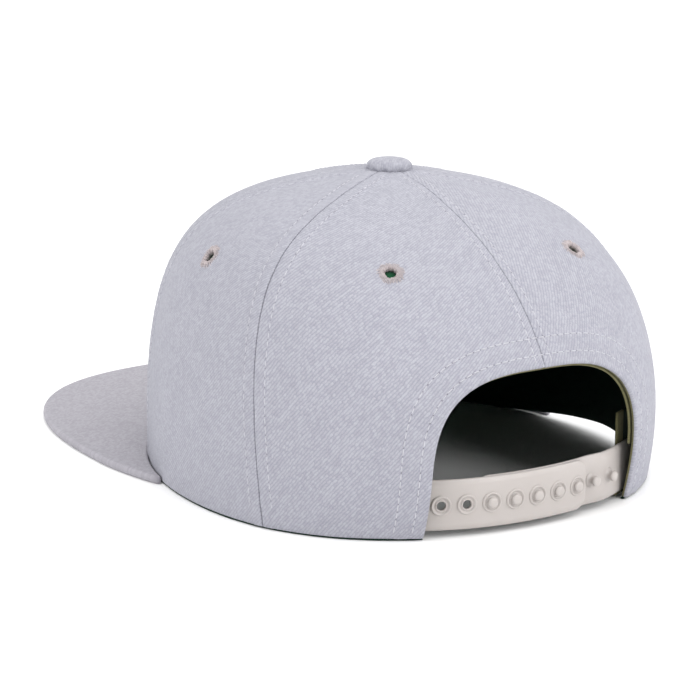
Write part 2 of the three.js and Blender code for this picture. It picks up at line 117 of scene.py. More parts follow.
def add(tree, kind, inputs=None, **settings):
    """Adds a node, sets its own settings, and sets or links its inputs."""
    node = tree.nodes.new(kind)
    for name, value in settings.items():
        setattr(node, name, value)
    for name, value in (inputs or {}).items():
        if isinstance(value, bpy.types.NodeSocket):
            tree.links.new(value, node.inputs[name])
        else:
            node.inputs[name].default_value = value
    return node


def new_material(name):
    """A material with an empty tree and its output node."""
    material = bpy.data.materials.new(name)
    material.use_nodes = True
    material.node_tree.nodes.clear()
    output = add(material.node_tree, "ShaderNodeOutputMaterial")
    return material, material.node_tree, output


# %% Floor
# Matt white laminate: it gives no mirror image, only a soft shadow close under the rim
FLOOR_HALF_SIDE = 20
matte_table, tree, output = new_material("matte_white_table")
table_noise = add(tree, "ShaderNodeTexNoise", {"Scale": 3.0, "Detail": 2.0})
table_tint = add(
    tree,
    "ShaderNodeMix",
    {0: table_noise.outputs[0], 6: linear("#F3F3F3"), 7: linear("#F7F7F7")},
    data_type="RGBA",
)
table_shader = add(
    tree,
    "ShaderNodeBsdfPrincipled",
    {"Base Color": table_tint.outputs[2], "Roughness": 0.9, "Specular IOR Level": 0.2},
)
tree.links.new(table_shader.outputs[0], output.inputs[0])

floor_mesh = bpy.data.meshes.new("table")
floor_corners = [(-1, -1), (1, -1), (1, 1), (-1, 1)]
floor_points = [(x * FLOOR_HALF_SIDE, y * FLOOR_HALF_SIDE, 0) for x, y in floor_corners]
floor_mesh.from_pydata(floor_points, [], [(0, 1, 2, 3)])
floor_mesh.materials.append(matte_table)
table = bpy.data.objects.new("table", floor_mesh)
bpy.context.scene.collection.objects.link(table)
print("table", 2 * FLOOR_HALF_SIDE, "m wide")

# %% Light
SKY_STRENGTH = 0.355
world = bpy.data.worlds.new("light_tent")
world.use_nodes = True
world.node_tree.nodes["Background"].inputs["Color"].default_value = linear("#FFFFFF")
world.node_tree.nodes["Background"].inputs["Strength"].default_value = SKY_STRENGTH
bpy.context.scene.world = world
bpy.context.scene.view_settings.view_transform = "Standard"

CROWN_MIDDLE = Vector((0, 0.035, 0.06))
towards_camera = Vector((-forward.x, -forward.y, 0)).normalized()
SOFTBOXES = {
    "overhead_silk": {"away": (-0.6, 0.3, 3.2), "side": 6.5, "watts": 220},
    "low_right": {"away": (1.06, 1.06, 0.55), "side": 0.6, "watts": 9.8},
    "strip_right": {"away": (0.31, 1.47, 0.55), "side": 0.6, "watts": 5.6},
    "fill_left": {"away": (0.91, -1.30, 0.74), "side": 1.0, "watts": 16.2},
}
for name, box in SOFTBOXES.items():
    near, rightward, height = box["away"]
    place = CROWN_MIDDLE + towards_camera * near + level_right * rightward + Vector((0, 0, height))
    lamp = bpy.data.lights.new(name, "AREA")
    lamp.shape = "SQUARE"
    lamp.size = box["side"]
    lamp.energy = box["watts"]
    softbox = bpy.data.objects.new(name, lamp)
    softbox.location = place
    softbox.rotation_euler = (CROWN_MIDDLE - place).to_track_quat("-Z", "Y").to_euler()
    bpy.context.scene.collection.objects.link(softbox)
print("softboxes:", ", ".join(SOFTBOXES))

# %% [markdown]
# ## The crown as a rule
# A cap's crown has no simple solid behind it, but it follows a rule. Seen from above the rim is a rounded
# oval. Every upright line on it is one smooth curve from the rim to the button: it stands steep at first,
# turns over a shoulder and ends nearly level. Three rows of shares say how steep, how broad and how
# flared that curve is at the front, the side and the rear. With the rule as a function, any stitch, seam
# or eyelet can ask where the cloth is and which way it faces.

# %% The crown's surface
FRONT_LENGTH = 98 * MM
REAR_LENGTH = 94.7 * MM
HALF_WIDTH = 90.4 * MM
CROWN_HEIGHT = 113 * MM
RIM_EXPONENT = 2.17
RIM_EGG_SHARE = 0.06
TOP_SHIFT = -3 * MM
TOP_SLOPE = 0.106
PROFILE = {
    "steepness": {"front": 0.784, "side": 0.832, "rear": 0.62},
    "shoulder": {"front": 0.892, "side": 0.787, "rear": 0.553},
    "flare": {"front": 0.035, "side": 0.0, "rear": 0.317},
}
VISOR_PROJECTION = 73.6 * MM
CROWN_CENTRE_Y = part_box("visor")[0].y + FRONT_LENGTH + VISOR_PROJECTION


def signed_power(value, power):
    return np.sign(value) * np.abs(value) ** power


def smooth(value):
    """Rises softly from 0 to 1 as the value does."""
    value = np.clip(value, 0, 1)
    return value * value * (3 - 2 * value)


def around_crown(angle, row):
    ahead = np.cos(angle)
    towards_end = np.where(ahead > 0, row["front"], row["rear"])
    return row["side"] + (towards_end - row["side"]) * ahead**2


def crown_shares(angle, up):
    """The radius and the height of the crown's curve, as shares, from the rim (0) to the button (1)."""
    steepness = around_crown(angle, PROFILE["steepness"])
    shoulder = around_crown(angle, PROFILE["shoulder"])
    flare = around_crown(angle, PROFILE["flare"])
    down = 1 - up
    low, high = 3 * down**2 * up, 3 * down * up**2
    radius = down**3 + low * (1 + flare) + high * shoulder
    height = low * steepness + high * (1 - TOP_SLOPE * shoulder) + up**3
    return radius, height


def rim_point(angle):
    sine, cosine = np.sin(angle), np.cos(angle)
    length = np.where(cosine > 0, FRONT_LENGTH, REAR_LENGTH)
    x = HALF_WIDTH * signed_power(sine, 2 / RIM_EXPONENT) * (1 - RIM_EGG_SHARE * cosine)
    y = -length * signed_power(cosine, 2 / RIM_EXPONENT)
    return np.stack([x, y, np.zeros_like(x)], -1)


def crown_point(angle, up):
    """Where the cloth's outer face is. Angles run from the front towards the wearer's left."""
    angle, up = np.broadcast_arrays(np.asarray(angle, float), np.asarray(up, float))
    radius, height = crown_shares(angle, up)
    point = rim_point(angle) * radius[..., None]
    point[..., 1] += TOP_SHIFT * height + CROWN_CENTRE_Y
    point[..., 2] = CROWN_HEIGHT * height
    return point


def unit(vectors):
    return vectors / np.maximum(np.linalg.norm(vectors, axis=-1, keepdims=True), 1e-12)


SMALL = 1e-4


def crown_tangent(angle, up):
    return (crown_point(angle + SMALL, up) - crown_point(angle - SMALL, up)) / (2 * SMALL)


def crown_normal(angle, up):
    up = np.clip(up, SMALL, 1 - SMALL)
    rising = crown_point(angle, up + SMALL) - crown_point(angle, up - SMALL)
    return unit(np.cross(crown_tangent(angle, up), rising))


def rim_outward(angle):
    level = crown_tangent(angle, 0.0)
    return unit(np.stack([level[..., 1], -level[..., 0], np.zeros_like(level[..., 0])], -1))


def solve_rising(rise, low, high, steps=40):
    """Finds where a rising function passes zero, for many places at once."""
    low, high = np.array(low, float), np.array(high, float)
    for _ in range(steps):
        middle = (low + high) / 2
        below = rise(middle) < 0
        low = np.where(below, middle, low)
        high = np.where(below, high, middle)
    return (low + high) / 2


def up_at_height(angle, height):
    angle = np.asarray(angle, float)
    start = np.zeros_like(angle)
    return solve_rising(lambda up: crown_point(angle, up)[..., 2] - height, start, start + 1)


TOP_HOLE_RADIUS = 4 * MM
ANGLE_TABLE = np.radians(np.arange(-185, 185.5, 0.5))


def axis_distance(angle, up):
    """How far a point of the crown is from the button's axis."""
    _, height = crown_shares(angle, up)
    point = crown_point(angle, up)
    return np.hypot(point[..., 0], point[..., 1] - TOP_SHIFT * height - CROWN_CENTRE_Y)


TOP_TABLE = solve_rising(
    lambda up: TOP_HOLE_RADIUS - axis_distance(ANGLE_TABLE, up),
    np.full_like(ANGLE_TABLE, 0.5),
    np.ones_like(ANGLE_TABLE),
)
print("rim to button along the side:", round(float(np.interp(math.pi / 2, ANGLE_TABLE, TOP_TABLE)), 3))

# %% [markdown]
# ## A sheet with a turned edge
# Cloth on a cap never ends in a sharp, flat cut: it is folded under and sewn, so each edge is round. The
# helpers below make such a wall from a rule. First a grid is laid over the piece and cut to its outline.
# The grid's points that lie close to the outline are moved onto it, so no slivers are left. Then the
# sheet gets an inner face, and its border is joined to that by a half-round roll. Making it this way
# gives an even wall with a known UV map, which a Boolean and a Bevel on a thin shell don't.

# %% Cut a grid to an outline
def clip_grid(columns, rows, place, keep):
    """A grid over the unit square, cut where keep (a distance in metres) falls below zero."""
    across, along = np.meshgrid(np.linspace(0, 1, columns + 1), np.linspace(0, 1, rows + 1))
    q = np.stack([across, along], -1).reshape(-1, 2)
    cell = np.array([1 / columns, 1 / rows])
    border = np.isclose(q, 0) | np.isclose(q, 1)
    reach = keep(place(q))
    for _ in range(3):
        slope = np.stack([keep(place(q + SMALL * step)) for step in np.eye(2)], -1) - reach[:, None]
        slope = np.where(border, 0, slope / SMALL * cell)
        steep = (slope**2).sum(-1, keepdims=True)
        shift = -reach[:, None] * slope / np.maximum(steep, 1e-16)
        near = (np.abs(shift).max(-1) < 0.35) & (steep[:, 0] > 1e-14)
        q = np.where(near[:, None], q + shift * cell, q)
        reach = keep(place(q))
    reach = np.where(near, 0, reach)
    faces, crossings = [], {}
    for i in range(rows):
        for j in range(columns):
            a = i * (columns + 1) + j
            corners = (a, a + 1, a + columns + 2, a + columns + 1)
            values = [reach[c] for c in corners]
            if max(values) <= 0:
                continue
            if min(values) >= 0:
                faces.append(corners)
                continue
            face = []
            for k in range(4):
                here, after = corners[k], corners[(k + 1) % 4]
                if reach[here] >= 0:
                    face.append(here)
                if reach[here] * reach[after] < 0:
                    key = (min(here, after), max(here, after))
                    face.append(crossings.setdefault(key, len(q) + len(crossings)))
            if len(face) > 2:
                faces.append(tuple(face))
    if crossings:
        inside = np.array([key if reach[key[0]] > 0 else key[::-1] for key in crossings])
        start, end = q[inside[:, 0]], q[inside[:, 1]]
        no, yes = np.zeros(len(start)), np.ones(len(start))
        share = solve_rising(lambda s: -keep(place(start + (end - start) * s[:, None])), no, yes)
        q = np.vstack([q, start + (end - start) * share[:, None]])
    used = np.unique(np.concatenate([np.array(face) for face in faces]))
    renumber = np.full(len(q), -1)
    renumber[used] = np.arange(len(used))
    return q[used], [tuple(int(renumber[v]) for v in face) for face in faces]


def keep_all(points):
    return np.ones(len(points))


# %% Make meshes
def make_mesh(name, points, faces, materials, slots=None, uv=None):
    """A smooth mesh object at the origin, with a UV map in metres of cloth."""
    mesh = bpy.data.meshes.new(name)
    mesh.from_pydata([tuple(map(float, p)) for p in points], [], faces)
    for material in materials:
        mesh.materials.append(material)
    if slots is not None:
        mesh.polygons.foreach_set("material_index", slots)
    if uv is not None:
        corner = np.zeros(len(mesh.loops), np.int32)
        mesh.loops.foreach_get("vertex_index", corner)
        layer = mesh.uv_layers.new(name="cloth")
        layer.data.foreach_set("uv", np.asarray(uv, np.float32)[corner].ravel())
    mesh.polygons.foreach_set("use_smooth", [True] * len(mesh.polygons))
    mesh.update()
    piece = bpy.data.objects.new(name, mesh)
    bpy.context.scene.collection.objects.link(piece)
    return piece


def sheet_normals(points, faces):
    mesh = bpy.data.meshes.new("guide")
    mesh.from_pydata([tuple(map(float, p)) for p in points], [], faces)
    normals = np.zeros(len(points) * 3, np.float32)
    mesh.vertices.foreach_get("normal", normals)
    bpy.data.meshes.remove(mesh)
    return normals.reshape(-1, 3).astype(float)


def turned_wall(name, outer, inner, faces, uv, roll, materials, roll_steps=6, turn_at=6, bound=None):
    """A closed wall: the sheet, its inner face, and a half-round roll along every border.

    roll is how far the roll stands out from each border point. From roll step turn_at on, and on the
    inner face, the wall wears the second material. Where bound is true, a tape binds the roll's inside."""
    count = len(outer)
    normals = sheet_normals(outer, faces)
    directed = {}
    for face in faces:
        for a, b in zip(face, face[1:] + face[:1]):
            directed[(a, b)] = True
    border = [(a, b) for a, b in directed if (b, a) not in directed]
    sideways = np.zeros((count, 3))
    for a, b in border:
        step = outer[b] - outer[a]
        out = np.cross(step / max(np.linalg.norm(step), 1e-9), normals[a])
        sideways[a] += out
        sideways[b] += out
    rim = sorted({a for edge in border for a in edge})
    rank = {vertex: k for k, vertex in enumerate(rim)}
    middle, half = (outer + inner) / 2, (outer - inner) / 2
    reach = unit(sideways[rim]) * np.broadcast_to(roll, count)[rim][:, None]
    points = [outer, inner]
    for k in range(1, roll_steps):
        turn = math.pi * k / roll_steps
        points.append(middle[rim] + half[rim] * math.cos(turn) + reach * math.sin(turn))

    def ring(vertex, k):
        if k == 0:
            return vertex
        return count + vertex if k == roll_steps else 2 * count + (k - 1) * len(rim) + rank[vertex]

    wall = list(faces) + [tuple(count + v for v in reversed(face)) for face in faces]
    slots = [0] * len(faces) + [1] * len(faces)
    for a, b in border:
        for k in range(roll_steps):
            wall.append((ring(b, k), ring(a, k), ring(a, k + 1), ring(b, k + 1)))
            under_tape = bound is not None and bound[a] and k >= roll_steps / 2
            slots.append(2 if under_tape else int(k >= turn_at))
    all_uv = np.vstack([uv, uv] + [uv[rim]] * (roll_steps - 1))
    return make_mesh(name, np.vstack(points), wall, materials, slots, all_uv)


def triangles_of(piece):
    return sum(len(polygon.vertices) - 2 for polygon in piece.data.polygons)


def finish_piece(piece, slot, *replaced):
    """Lets a piece ride on the cap and hides the plain solid that it stands for."""
    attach(piece, "root")
    if replaced:
        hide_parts(*replaced)
    print(piece.name, triangles_of(piece), "triangles")
    return piece


# %% [markdown]
# ## Cloth
# The crown is a heathered wool twill. Twill is a weave whose yarns step sideways by one at each row, so
# its surface shows fine diagonal ribs, here about a millimetre apart. Heathered yarn is spun from light
# and dark fibres together, so each float of yarn has a slightly different grey. The material draws
# the ribs from the UV map, which holds real metres on the cloth, and gives each float its own shade with
# a white noise that is read once per float. Wool also has a soft fuzz, which the sheen stands for.

# %% Patterns that the cloths share
def drifted(tree, place, cloth, patch_size, detail, distance):
    """A place moved about by a soft noise, as yarns wander."""
    drift = add(tree, "ShaderNodeTexNoise", {"Vector": cloth, "Scale": 1 / patch_size, "Detail": detail})
    drift = add(
        tree, "ShaderNodeVectorMath", {0: drift.outputs[1], 1: (0.5, 0.5, 0.5)}, operation="SUBTRACT"
    )
    drift = add(tree, "ShaderNodeVectorMath", {0: drift.outputs[0], 3: distance}, operation="SCALE")
    return add(tree, "ShaderNodeVectorMath", {0: place, 1: drift.outputs[0]}).outputs[0]


def ridges(tree, turns):
    """Round ridges, one to each whole turn."""
    half_turns = add(tree, "ShaderNodeMath", {0: turns, 1: math.pi}, operation="MULTIPLY")
    wave = add(tree, "ShaderNodeMath", {0: half_turns.outputs[0]}, operation="SINE")
    return add(tree, "ShaderNodeMath", {0: wave.outputs[0]}, operation="ABSOLUTE").outputs[0]


def soft_noise(tree, place, size, detail):
    """Blotches of about one size, from 0 to 1."""
    inputs = {"Vector": place, "Scale": 1 / size, "Detail": detail}
    return add(tree, "ShaderNodeTexNoise", inputs).outputs[0]


# %% Wool twill
RIB_STAGGER = 0.37


def woven_wool(name, dark, light, shadow, rib_pitch, float_length, lean, rib_depth, heather, bump):
    """Heathered wool with diagonal ribs. Lengths are in metres of cloth, the lean is in radians."""
    material, tree, output = new_material(name)
    cloth = add(tree, "ShaderNodeUVMap", uv_map="cloth").outputs[0]
    place = drifted(tree, cloth, cloth, 11 * MM, 3.0, 1.3 * MM)
    place = drifted(tree, place, cloth, 1.1 * MM, 2.0, 0.8 * MM)
    across_ribs = (math.sin(lean) / rib_pitch, -math.cos(lean) / rib_pitch, 0)
    along_ribs = (math.cos(lean) / float_length, math.sin(lean) / float_length, 0)
    rib = add(tree, "ShaderNodeVectorMath", {0: place, 1: across_ribs}, operation="DOT_PRODUCT").outputs[1]
    run = add(tree, "ShaderNodeVectorMath", {0: place, 1: along_ribs}, operation="DOT_PRODUCT").outputs[1]
    rib_number = add(tree, "ShaderNodeMath", {0: rib}, operation="FLOOR").outputs[0]
    staggered = {0: rib_number, 1: RIB_STAGGER, 2: run}
    run = add(tree, "ShaderNodeMath", staggered, operation="MULTIPLY_ADD").outputs[0]
    float_number = add(tree, "ShaderNodeMath", {0: run}, operation="FLOOR").outputs[0]
    yarn = add(tree, "ShaderNodeCombineXYZ", {0: rib_number, 1: float_number}).outputs[0]
    shade = add(tree, "ShaderNodeTexWhiteNoise", {"Vector": yarn}, noise_dimensions="2D").outputs[0]
    rib_wave = ridges(tree, rib)
    run_wave = ridges(tree, run)
    fibre = soft_noise(tree, cloth, 0.5 * MM, 3.0)
    patch = soft_noise(tree, cloth, 9 * MM, 2.0)
    shade = add(tree, "ShaderNodeMix", {0: heather, 2: fibre, 3: shade}).outputs[0]
    shade = add(tree, "ShaderNodeMix", {0: 0.15, 2: shade, 3: patch}).outputs[0]
    shade = add(tree, "ShaderNodeMapRange", {0: shade, 1: 0.25, 2: 0.75}).outputs[0]
    tones = {0: shade, 6: seen(dark), 7: seen(light)}
    colour = add(tree, "ShaderNodeMix", tones, data_type="RGBA").outputs[2]
    valley = add(tree, "ShaderNodeMapRange", {0: rib_wave, 1: 0.0, 2: 0.8, 3: rib_depth, 4: 0.0}).outputs[0]
    uneven = add(tree, "ShaderNodeMapRange", {0: fibre, 1: 0.3, 2: 0.65, 3: 0.35, 4: 1.0}).outputs[0]
    valley = add(tree, "ShaderNodeMath", {0: valley, 1: uneven}, operation="MULTIPLY").outputs[0]
    tones = {0: valley, 6: colour, 7: seen(shadow)}
    colour = add(tree, "ShaderNodeMix", tones, data_type="RGBA").outputs[2]
    height = add(tree, "ShaderNodeMix", {0: 0.35, 2: rib_wave, 3: run_wave}).outputs[0]
    height = add(tree, "ShaderNodeMix", {0: 0.35, 2: height, 3: fibre}).outputs[0]
    relief = add(tree, "ShaderNodeBump", {"Height": height, "Strength": bump, "Distance": 0.22 * MM})
    shader = add(
        tree,
        "ShaderNodeBsdfPrincipled",
        {
            "Base Color": colour,
            "Normal": relief.outputs[0],
            "Roughness": 0.9,
            "Specular IOR Level": 0.25,
            "Sheen Weight": 0.1,
            "Sheen Roughness": 0.5,
        },
    )
    tree.links.new(shader.outputs[0], output.inputs[0])
    return material


# The crown's twill has ribs about a millimetre apart, as counted on the photo. They give it a fine slant
crown_twill = woven_wool(
    "heathered_wool_twill",
    dark="#ACACB8",
    light="#CACAD4",
    shadow="#82828E",
    rib_pitch=0.98 * MM,
    float_length=1.1 * MM,
    lean=math.radians(48),
    rib_depth=0.55,
    heather=0.3,
    bump=0.6,
)
# The visor's cloth is pulled tight over its board and brushed, so that its ribs hardly show
visor_wool = woven_wool(
    "brushed_wool_over_board",
    dark="#B0ADB5",
    light="#C3C0C8",
    shadow="#9D9BA4",
    rib_pitch=0.8 * MM,
    float_length=1.4 * MM,
    lean=math.radians(40),
    rib_depth=0.2,
    heather=0.5,
    bump=0.35,
)
# Over the button the crown's cloth is stretched, which opens its weave and raises its fuzz
button_wool = woven_wool(
    "stretched_wool_over_button",
    dark="#ABABB7",
    light="#C6C6D0",
    shadow="#8B8B95",
    rib_pitch=0.9 * MM,
    float_length=1.5 * MM,
    lean=math.radians(48),
    rib_depth=0.3,
    heather=0.5,
    bump=0.6,
)


# %% Cotton for the inside
def woven_cotton(name, dark, light, yarn_pitch):
    """A plain cotton weave: two crossing waves, with soft blotches of dye."""
    material, tree, output = new_material(name)
    cloth = add(tree, "ShaderNodeUVMap", uv_map="cloth").outputs[0]
    turns = add(tree, "ShaderNodeVectorMath", {0: cloth, 3: math.tau / yarn_pitch}, operation="SCALE")
    split = add(tree, "ShaderNodeSeparateXYZ", {0: turns.outputs[0]})
    warp = add(tree, "ShaderNodeMath", {0: split.outputs[0]}, operation="SINE").outputs[0]
    weft = add(tree, "ShaderNodeMath", {0: split.outputs[1]}, operation="SINE").outputs[0]
    weave = add(tree, "ShaderNodeMath", {0: warp, 1: weft}, operation="MULTIPLY").outputs[0]
    dye = soft_noise(tree, cloth, 5 * MM, 4.0)
    shade = add(tree, "ShaderNodeMath", {0: weave, 1: 0.2, 2: dye}, operation="MULTIPLY_ADD").outputs[0]
    colour = add(tree, "ShaderNodeMix", {0: shade, 6: seen(dark), 7: seen(light)}, data_type="RGBA")
    relief = add(tree, "ShaderNodeBump", {"Height": weave, "Strength": 0.5, "Distance": 0.1 * MM})
    shader = add(
        tree,
        "ShaderNodeBsdfPrincipled",
        {
            "Base Color": colour.outputs[2],
            "Normal": relief.outputs[0],
            "Roughness": 0.92,
            "Specular IOR Level": 0.2,
            "Sheen Weight": 0.1,
        },
    )
    tree.links.new(shader.outputs[0], output.inputs[0])
    return material


# Dyed cotton backs the crown and the visor, lines the rim and binds the arch. It looks dull and even. A
# yarn pitch of about 0.8 mm is coarser than the real one, so that it shows
green_backing = woven_cotton("dark_green_cotton_backing", "#123526", "#1E4C38", 0.8 * MM)
green_band = woven_cotton("bottle_green_cotton_band", "#0E2A20", "#183F30", 0.7 * MM)
olive_tape = woven_cotton("olive_cotton_tape", "#6F6C4A", "#948F69", 0.9 * MM)
cloths = (crown_twill, visor_wool, button_wool, green_backing, green_band, olive_tape)
print("cloths:", *[cloth.name for cloth in cloths])

# %% [markdown]
# ## The arch at the back
# The two rear panels are cut away over the strap. Seen from behind, the cut has straight sides that turn
# into a rounded arch. To sew a row of stitches beside it, one must know how far a point of the cloth is
# from its edge. The arch is therefore written as a family of curves, each a margin wider than the last,
# and the margin of the curve that runs through a point is its distance. The crown curves away at the
# sides of the arch, so a distance seen from behind is shorter than the one on the cloth.

# %% The arch's outline and the distance from it
ARCH_HALF_WIDTH = 43.8 * MM
ARCH_HEIGHT = 57 * MM
ARCH_SPRING_HEIGHT = 18 * MM
ARCH_EXPONENT = 2.9


def arch_margin(points):
    """How far a point lies outside the arch, seen from behind. It is negative inside."""
    x, z = np.abs(points[..., 0]), points[..., 2]
    above = np.maximum(z - ARCH_SPRING_HEIGHT, 0)
    low = np.full_like(x, -ARCH_HALF_WIDTH * 0.8)

    def shortfall(margin):
        a = x / (ARCH_HALF_WIDTH + margin)
        b = above / (ARCH_HEIGHT + margin - ARCH_SPRING_HEIGHT)
        return 1 - (a**ARCH_EXPONENT + b**ARCH_EXPONENT)

    margin = solve_rising(shortfall, low, low + 0.2, 30)
    in_front = points[..., 1] < CROWN_CENTRE_Y
    return np.where(in_front, 0.1, margin)


def arch_point(turn, margin):
    """A point of the outline in the plane of x and z. turn goes from 0, at the left, to pi."""
    x = (ARCH_HALF_WIDTH + margin) * signed_power(np.cos(turn), 2 / ARCH_EXPONENT)
    rise = ARCH_HEIGHT + margin - ARCH_SPRING_HEIGHT
    return x, ARCH_SPRING_HEIGHT + rise * np.abs(np.sin(turn)) ** (2 / ARCH_EXPONENT)


def crown_behind(x, z):
    """The angle and the share up at which the back of the crown passes through x and z."""
    side = np.abs(x)
    quarter = np.full_like(side, math.pi / 2)
    angle = solve_rising(
        lambda a: side - crown_point(a, up_at_height(a, z))[..., 0], quarter, 2 * quarter, 30
    )
    up = up_at_height(angle, z)
    return np.where(x < 0, 2 * math.pi - angle, angle), up


def cloth_stretch(angle, up, points):
    """The distance on the cloth for one unit of margin seen from behind."""
    step = 0.2 * MM
    base = arch_margin(points)
    slope_x = arch_margin(points + [step, 0, 0]) - base
    slope_z = arch_margin(points + [0, 0, step]) - base
    away = unit(np.stack([slope_x, np.zeros_like(slope_x), slope_z], -1))
    facing = (crown_normal(angle, up) * away).sum(-1)
    return 1 / np.sqrt(np.clip(1 - facing**2, 0.2, 1))


foot_angle, _ = crown_behind(np.array([ARCH_HALF_WIDTH]), np.array([0.01 * MM]))
print("the arch's foot is at", round(math.degrees(foot_angle[0]), 1), "degrees")

# %% [markdown]
# ## The six panels
# Each panel is a leaf of cloth between two seams. Its seam allowances are folded under and stitched down,
# so that beside each seam the cloth is a little proud as far as the row of stitches, and the thread pulls
# a shallow groove. Along the arch a facing does the same. Those reliefs are small, but they are what
# makes a cap look sewn, so they are real shape here and not bump. The panels' grids are closer near the
# seams, where there is more to show.

# %% Sizes of the seams
CLOTH_WALL = 1.8 * MM
SEAM_GAP = 0.05 * MM
SEAM_ROLL = 0.38 * MM
EDGE_ROLL = 0.7 * MM
RIM_LIFT = 0.55 * MM
DRAWN_UP_HEIGHT = 5 * MM
DRAWN_UP_AT, DRAWN_UP_REACH = 100, 34
STITCH_FROM_SEAM = 4.9 * MM
STITCH_PITCH = 3.3 * MM
ARCH_ROWS = (4.6 * MM, 11.3 * MM)
ARCH_STITCH_PITCH = 2.9 * MM
ALLOWANCE_RISE = 0.42 * MM
FACING_RISE = 0.34 * MM
GROOVE_DEPTH = 0.30 * MM
GROOVE_HALF_WIDTH = 0.65 * MM
PAST_THE_ROW = 0.2 * MM
STEP_WIDTH = 1.3 * MM
SLOW_WAVE_RISE, SLOW_WAVE_SIZE = 0.45 * MM, 0.034
PUCKER_RISE, PUCKER_SIZE = 0.22 * MM, 0.007
SIDE_SEAM, SIDE_BOW = 60, 1.5
REAR_SEAM, REAR_BOW = 116.9, -3.9
EYELETS = {"front": (31, 0.5), "side": (86.8, 0.476), "rear": (147.9, 0.556)}
EYELET_CUT_RADIUS = 3.0 * MM
PANEL_COLUMNS = {"front": 84, "side": 84, "rear": 110}
PANEL_ROWS = 170
SEAM_CROWDING = 0.72


def seam(angle, bow, side):
    """A seam's angle as a function of how far up it is. side is 1 on the wearer's left."""
    return lambda up: side * np.radians(angle + bow * np.sin(np.pi * up))


def cloth_relief(points, normals, seam_distance, arch_distance, along):
    """How far the cloth stands proud of the plain crown."""
    allowance = 1 - smooth((seam_distance - STITCH_FROM_SEAM - PAST_THE_ROW) / STEP_WIDTH)
    facing = 1 - smooth((arch_distance - ARCH_ROWS[1] - PAST_THE_ROW) / STEP_WIDTH)
    relief = np.maximum(ALLOWANCE_RISE * allowance, FACING_RISE * facing)
    pull = 0.75 + 0.25 * np.cos(math.tau * along / STITCH_PITCH)
    for distance in [seam_distance - STITCH_FROM_SEAM] + [arch_distance - row for row in ARCH_ROWS]:
        relief = relief - GROOVE_DEPTH * pull * np.exp(-((distance / GROOVE_HALF_WIDTH) ** 2))
    pucker_reach = np.exp(-((np.minimum(seam_distance, arch_distance) / PUCKER_SIZE) ** 2))
    for k, point in enumerate(points):
        relief[k] += SLOW_WAVE_RISE * noise.noise(Vector(point) / SLOW_WAVE_SIZE)
        relief[k] += PUCKER_RISE * pucker_reach[k] * noise.noise(Vector(point) / PUCKER_SIZE)
    return relief


# %% One panel
def sample(table, q):
    """Reads a table laid over the unit square, between its entries too."""
    rows, columns = table.shape[0] - 1, table.shape[1] - 1
    x, y = np.clip(q[:, 0], 0, 1) * columns, np.clip(q[:, 1], 0, 1) * rows
    j, i = np.minimum(x.astype(int), columns - 1), np.minimum(y.astype(int), rows - 1)
    s, t = x - j, y - i
    low = table[i, j] * (1 - s) + table[i, j + 1] * s
    high = table[i + 1, j] * (1 - s) + table[i + 1, j + 1] * s
    return low * (1 - t) + high * t


def drawn_up(angle):
    """How far the rim stands off the table. Light from outside shows under it on the wearer's right."""
    from_middle = np.abs(angle + np.radians(DRAWN_UP_AT)) / np.radians(DRAWN_UP_REACH)
    return DRAWN_UP_HEIGHT * (1 - smooth(from_middle))


def panel_place(start, end):
    """A function from the unit square to angle and share up on the crown, for one panel."""
    up_low = up_at_height(ANGLE_TABLE, RIM_LIFT + EDGE_ROLL + drawn_up(ANGLE_TABLE))
    levels = np.linspace(0, 1, 120)
    inset = SEAM_GAP / 2 + SEAM_ROLL
    first = start(levels) + inset / np.linalg.norm(crown_tangent(start(levels), levels * 0.98), axis=-1)
    last = end(levels) - inset / np.linalg.norm(crown_tangent(end(levels), levels * 0.98), axis=-1)

    def place(q):
        share, up = q[:, 0], np.clip(q[:, 1], 0, 1)
        share = share - SEAM_CROWDING * np.sin(math.tau * share) / math.tau
        angle = np.interp(up, levels, first) * (1 - share) + np.interp(up, levels, last) * share
        lowest = np.interp(angle, ANGLE_TABLE, up_low)
        highest = np.interp(angle, ANGLE_TABLE, TOP_TABLE)
        return angle, lowest + (highest - lowest) * q[:, 1]

    return place


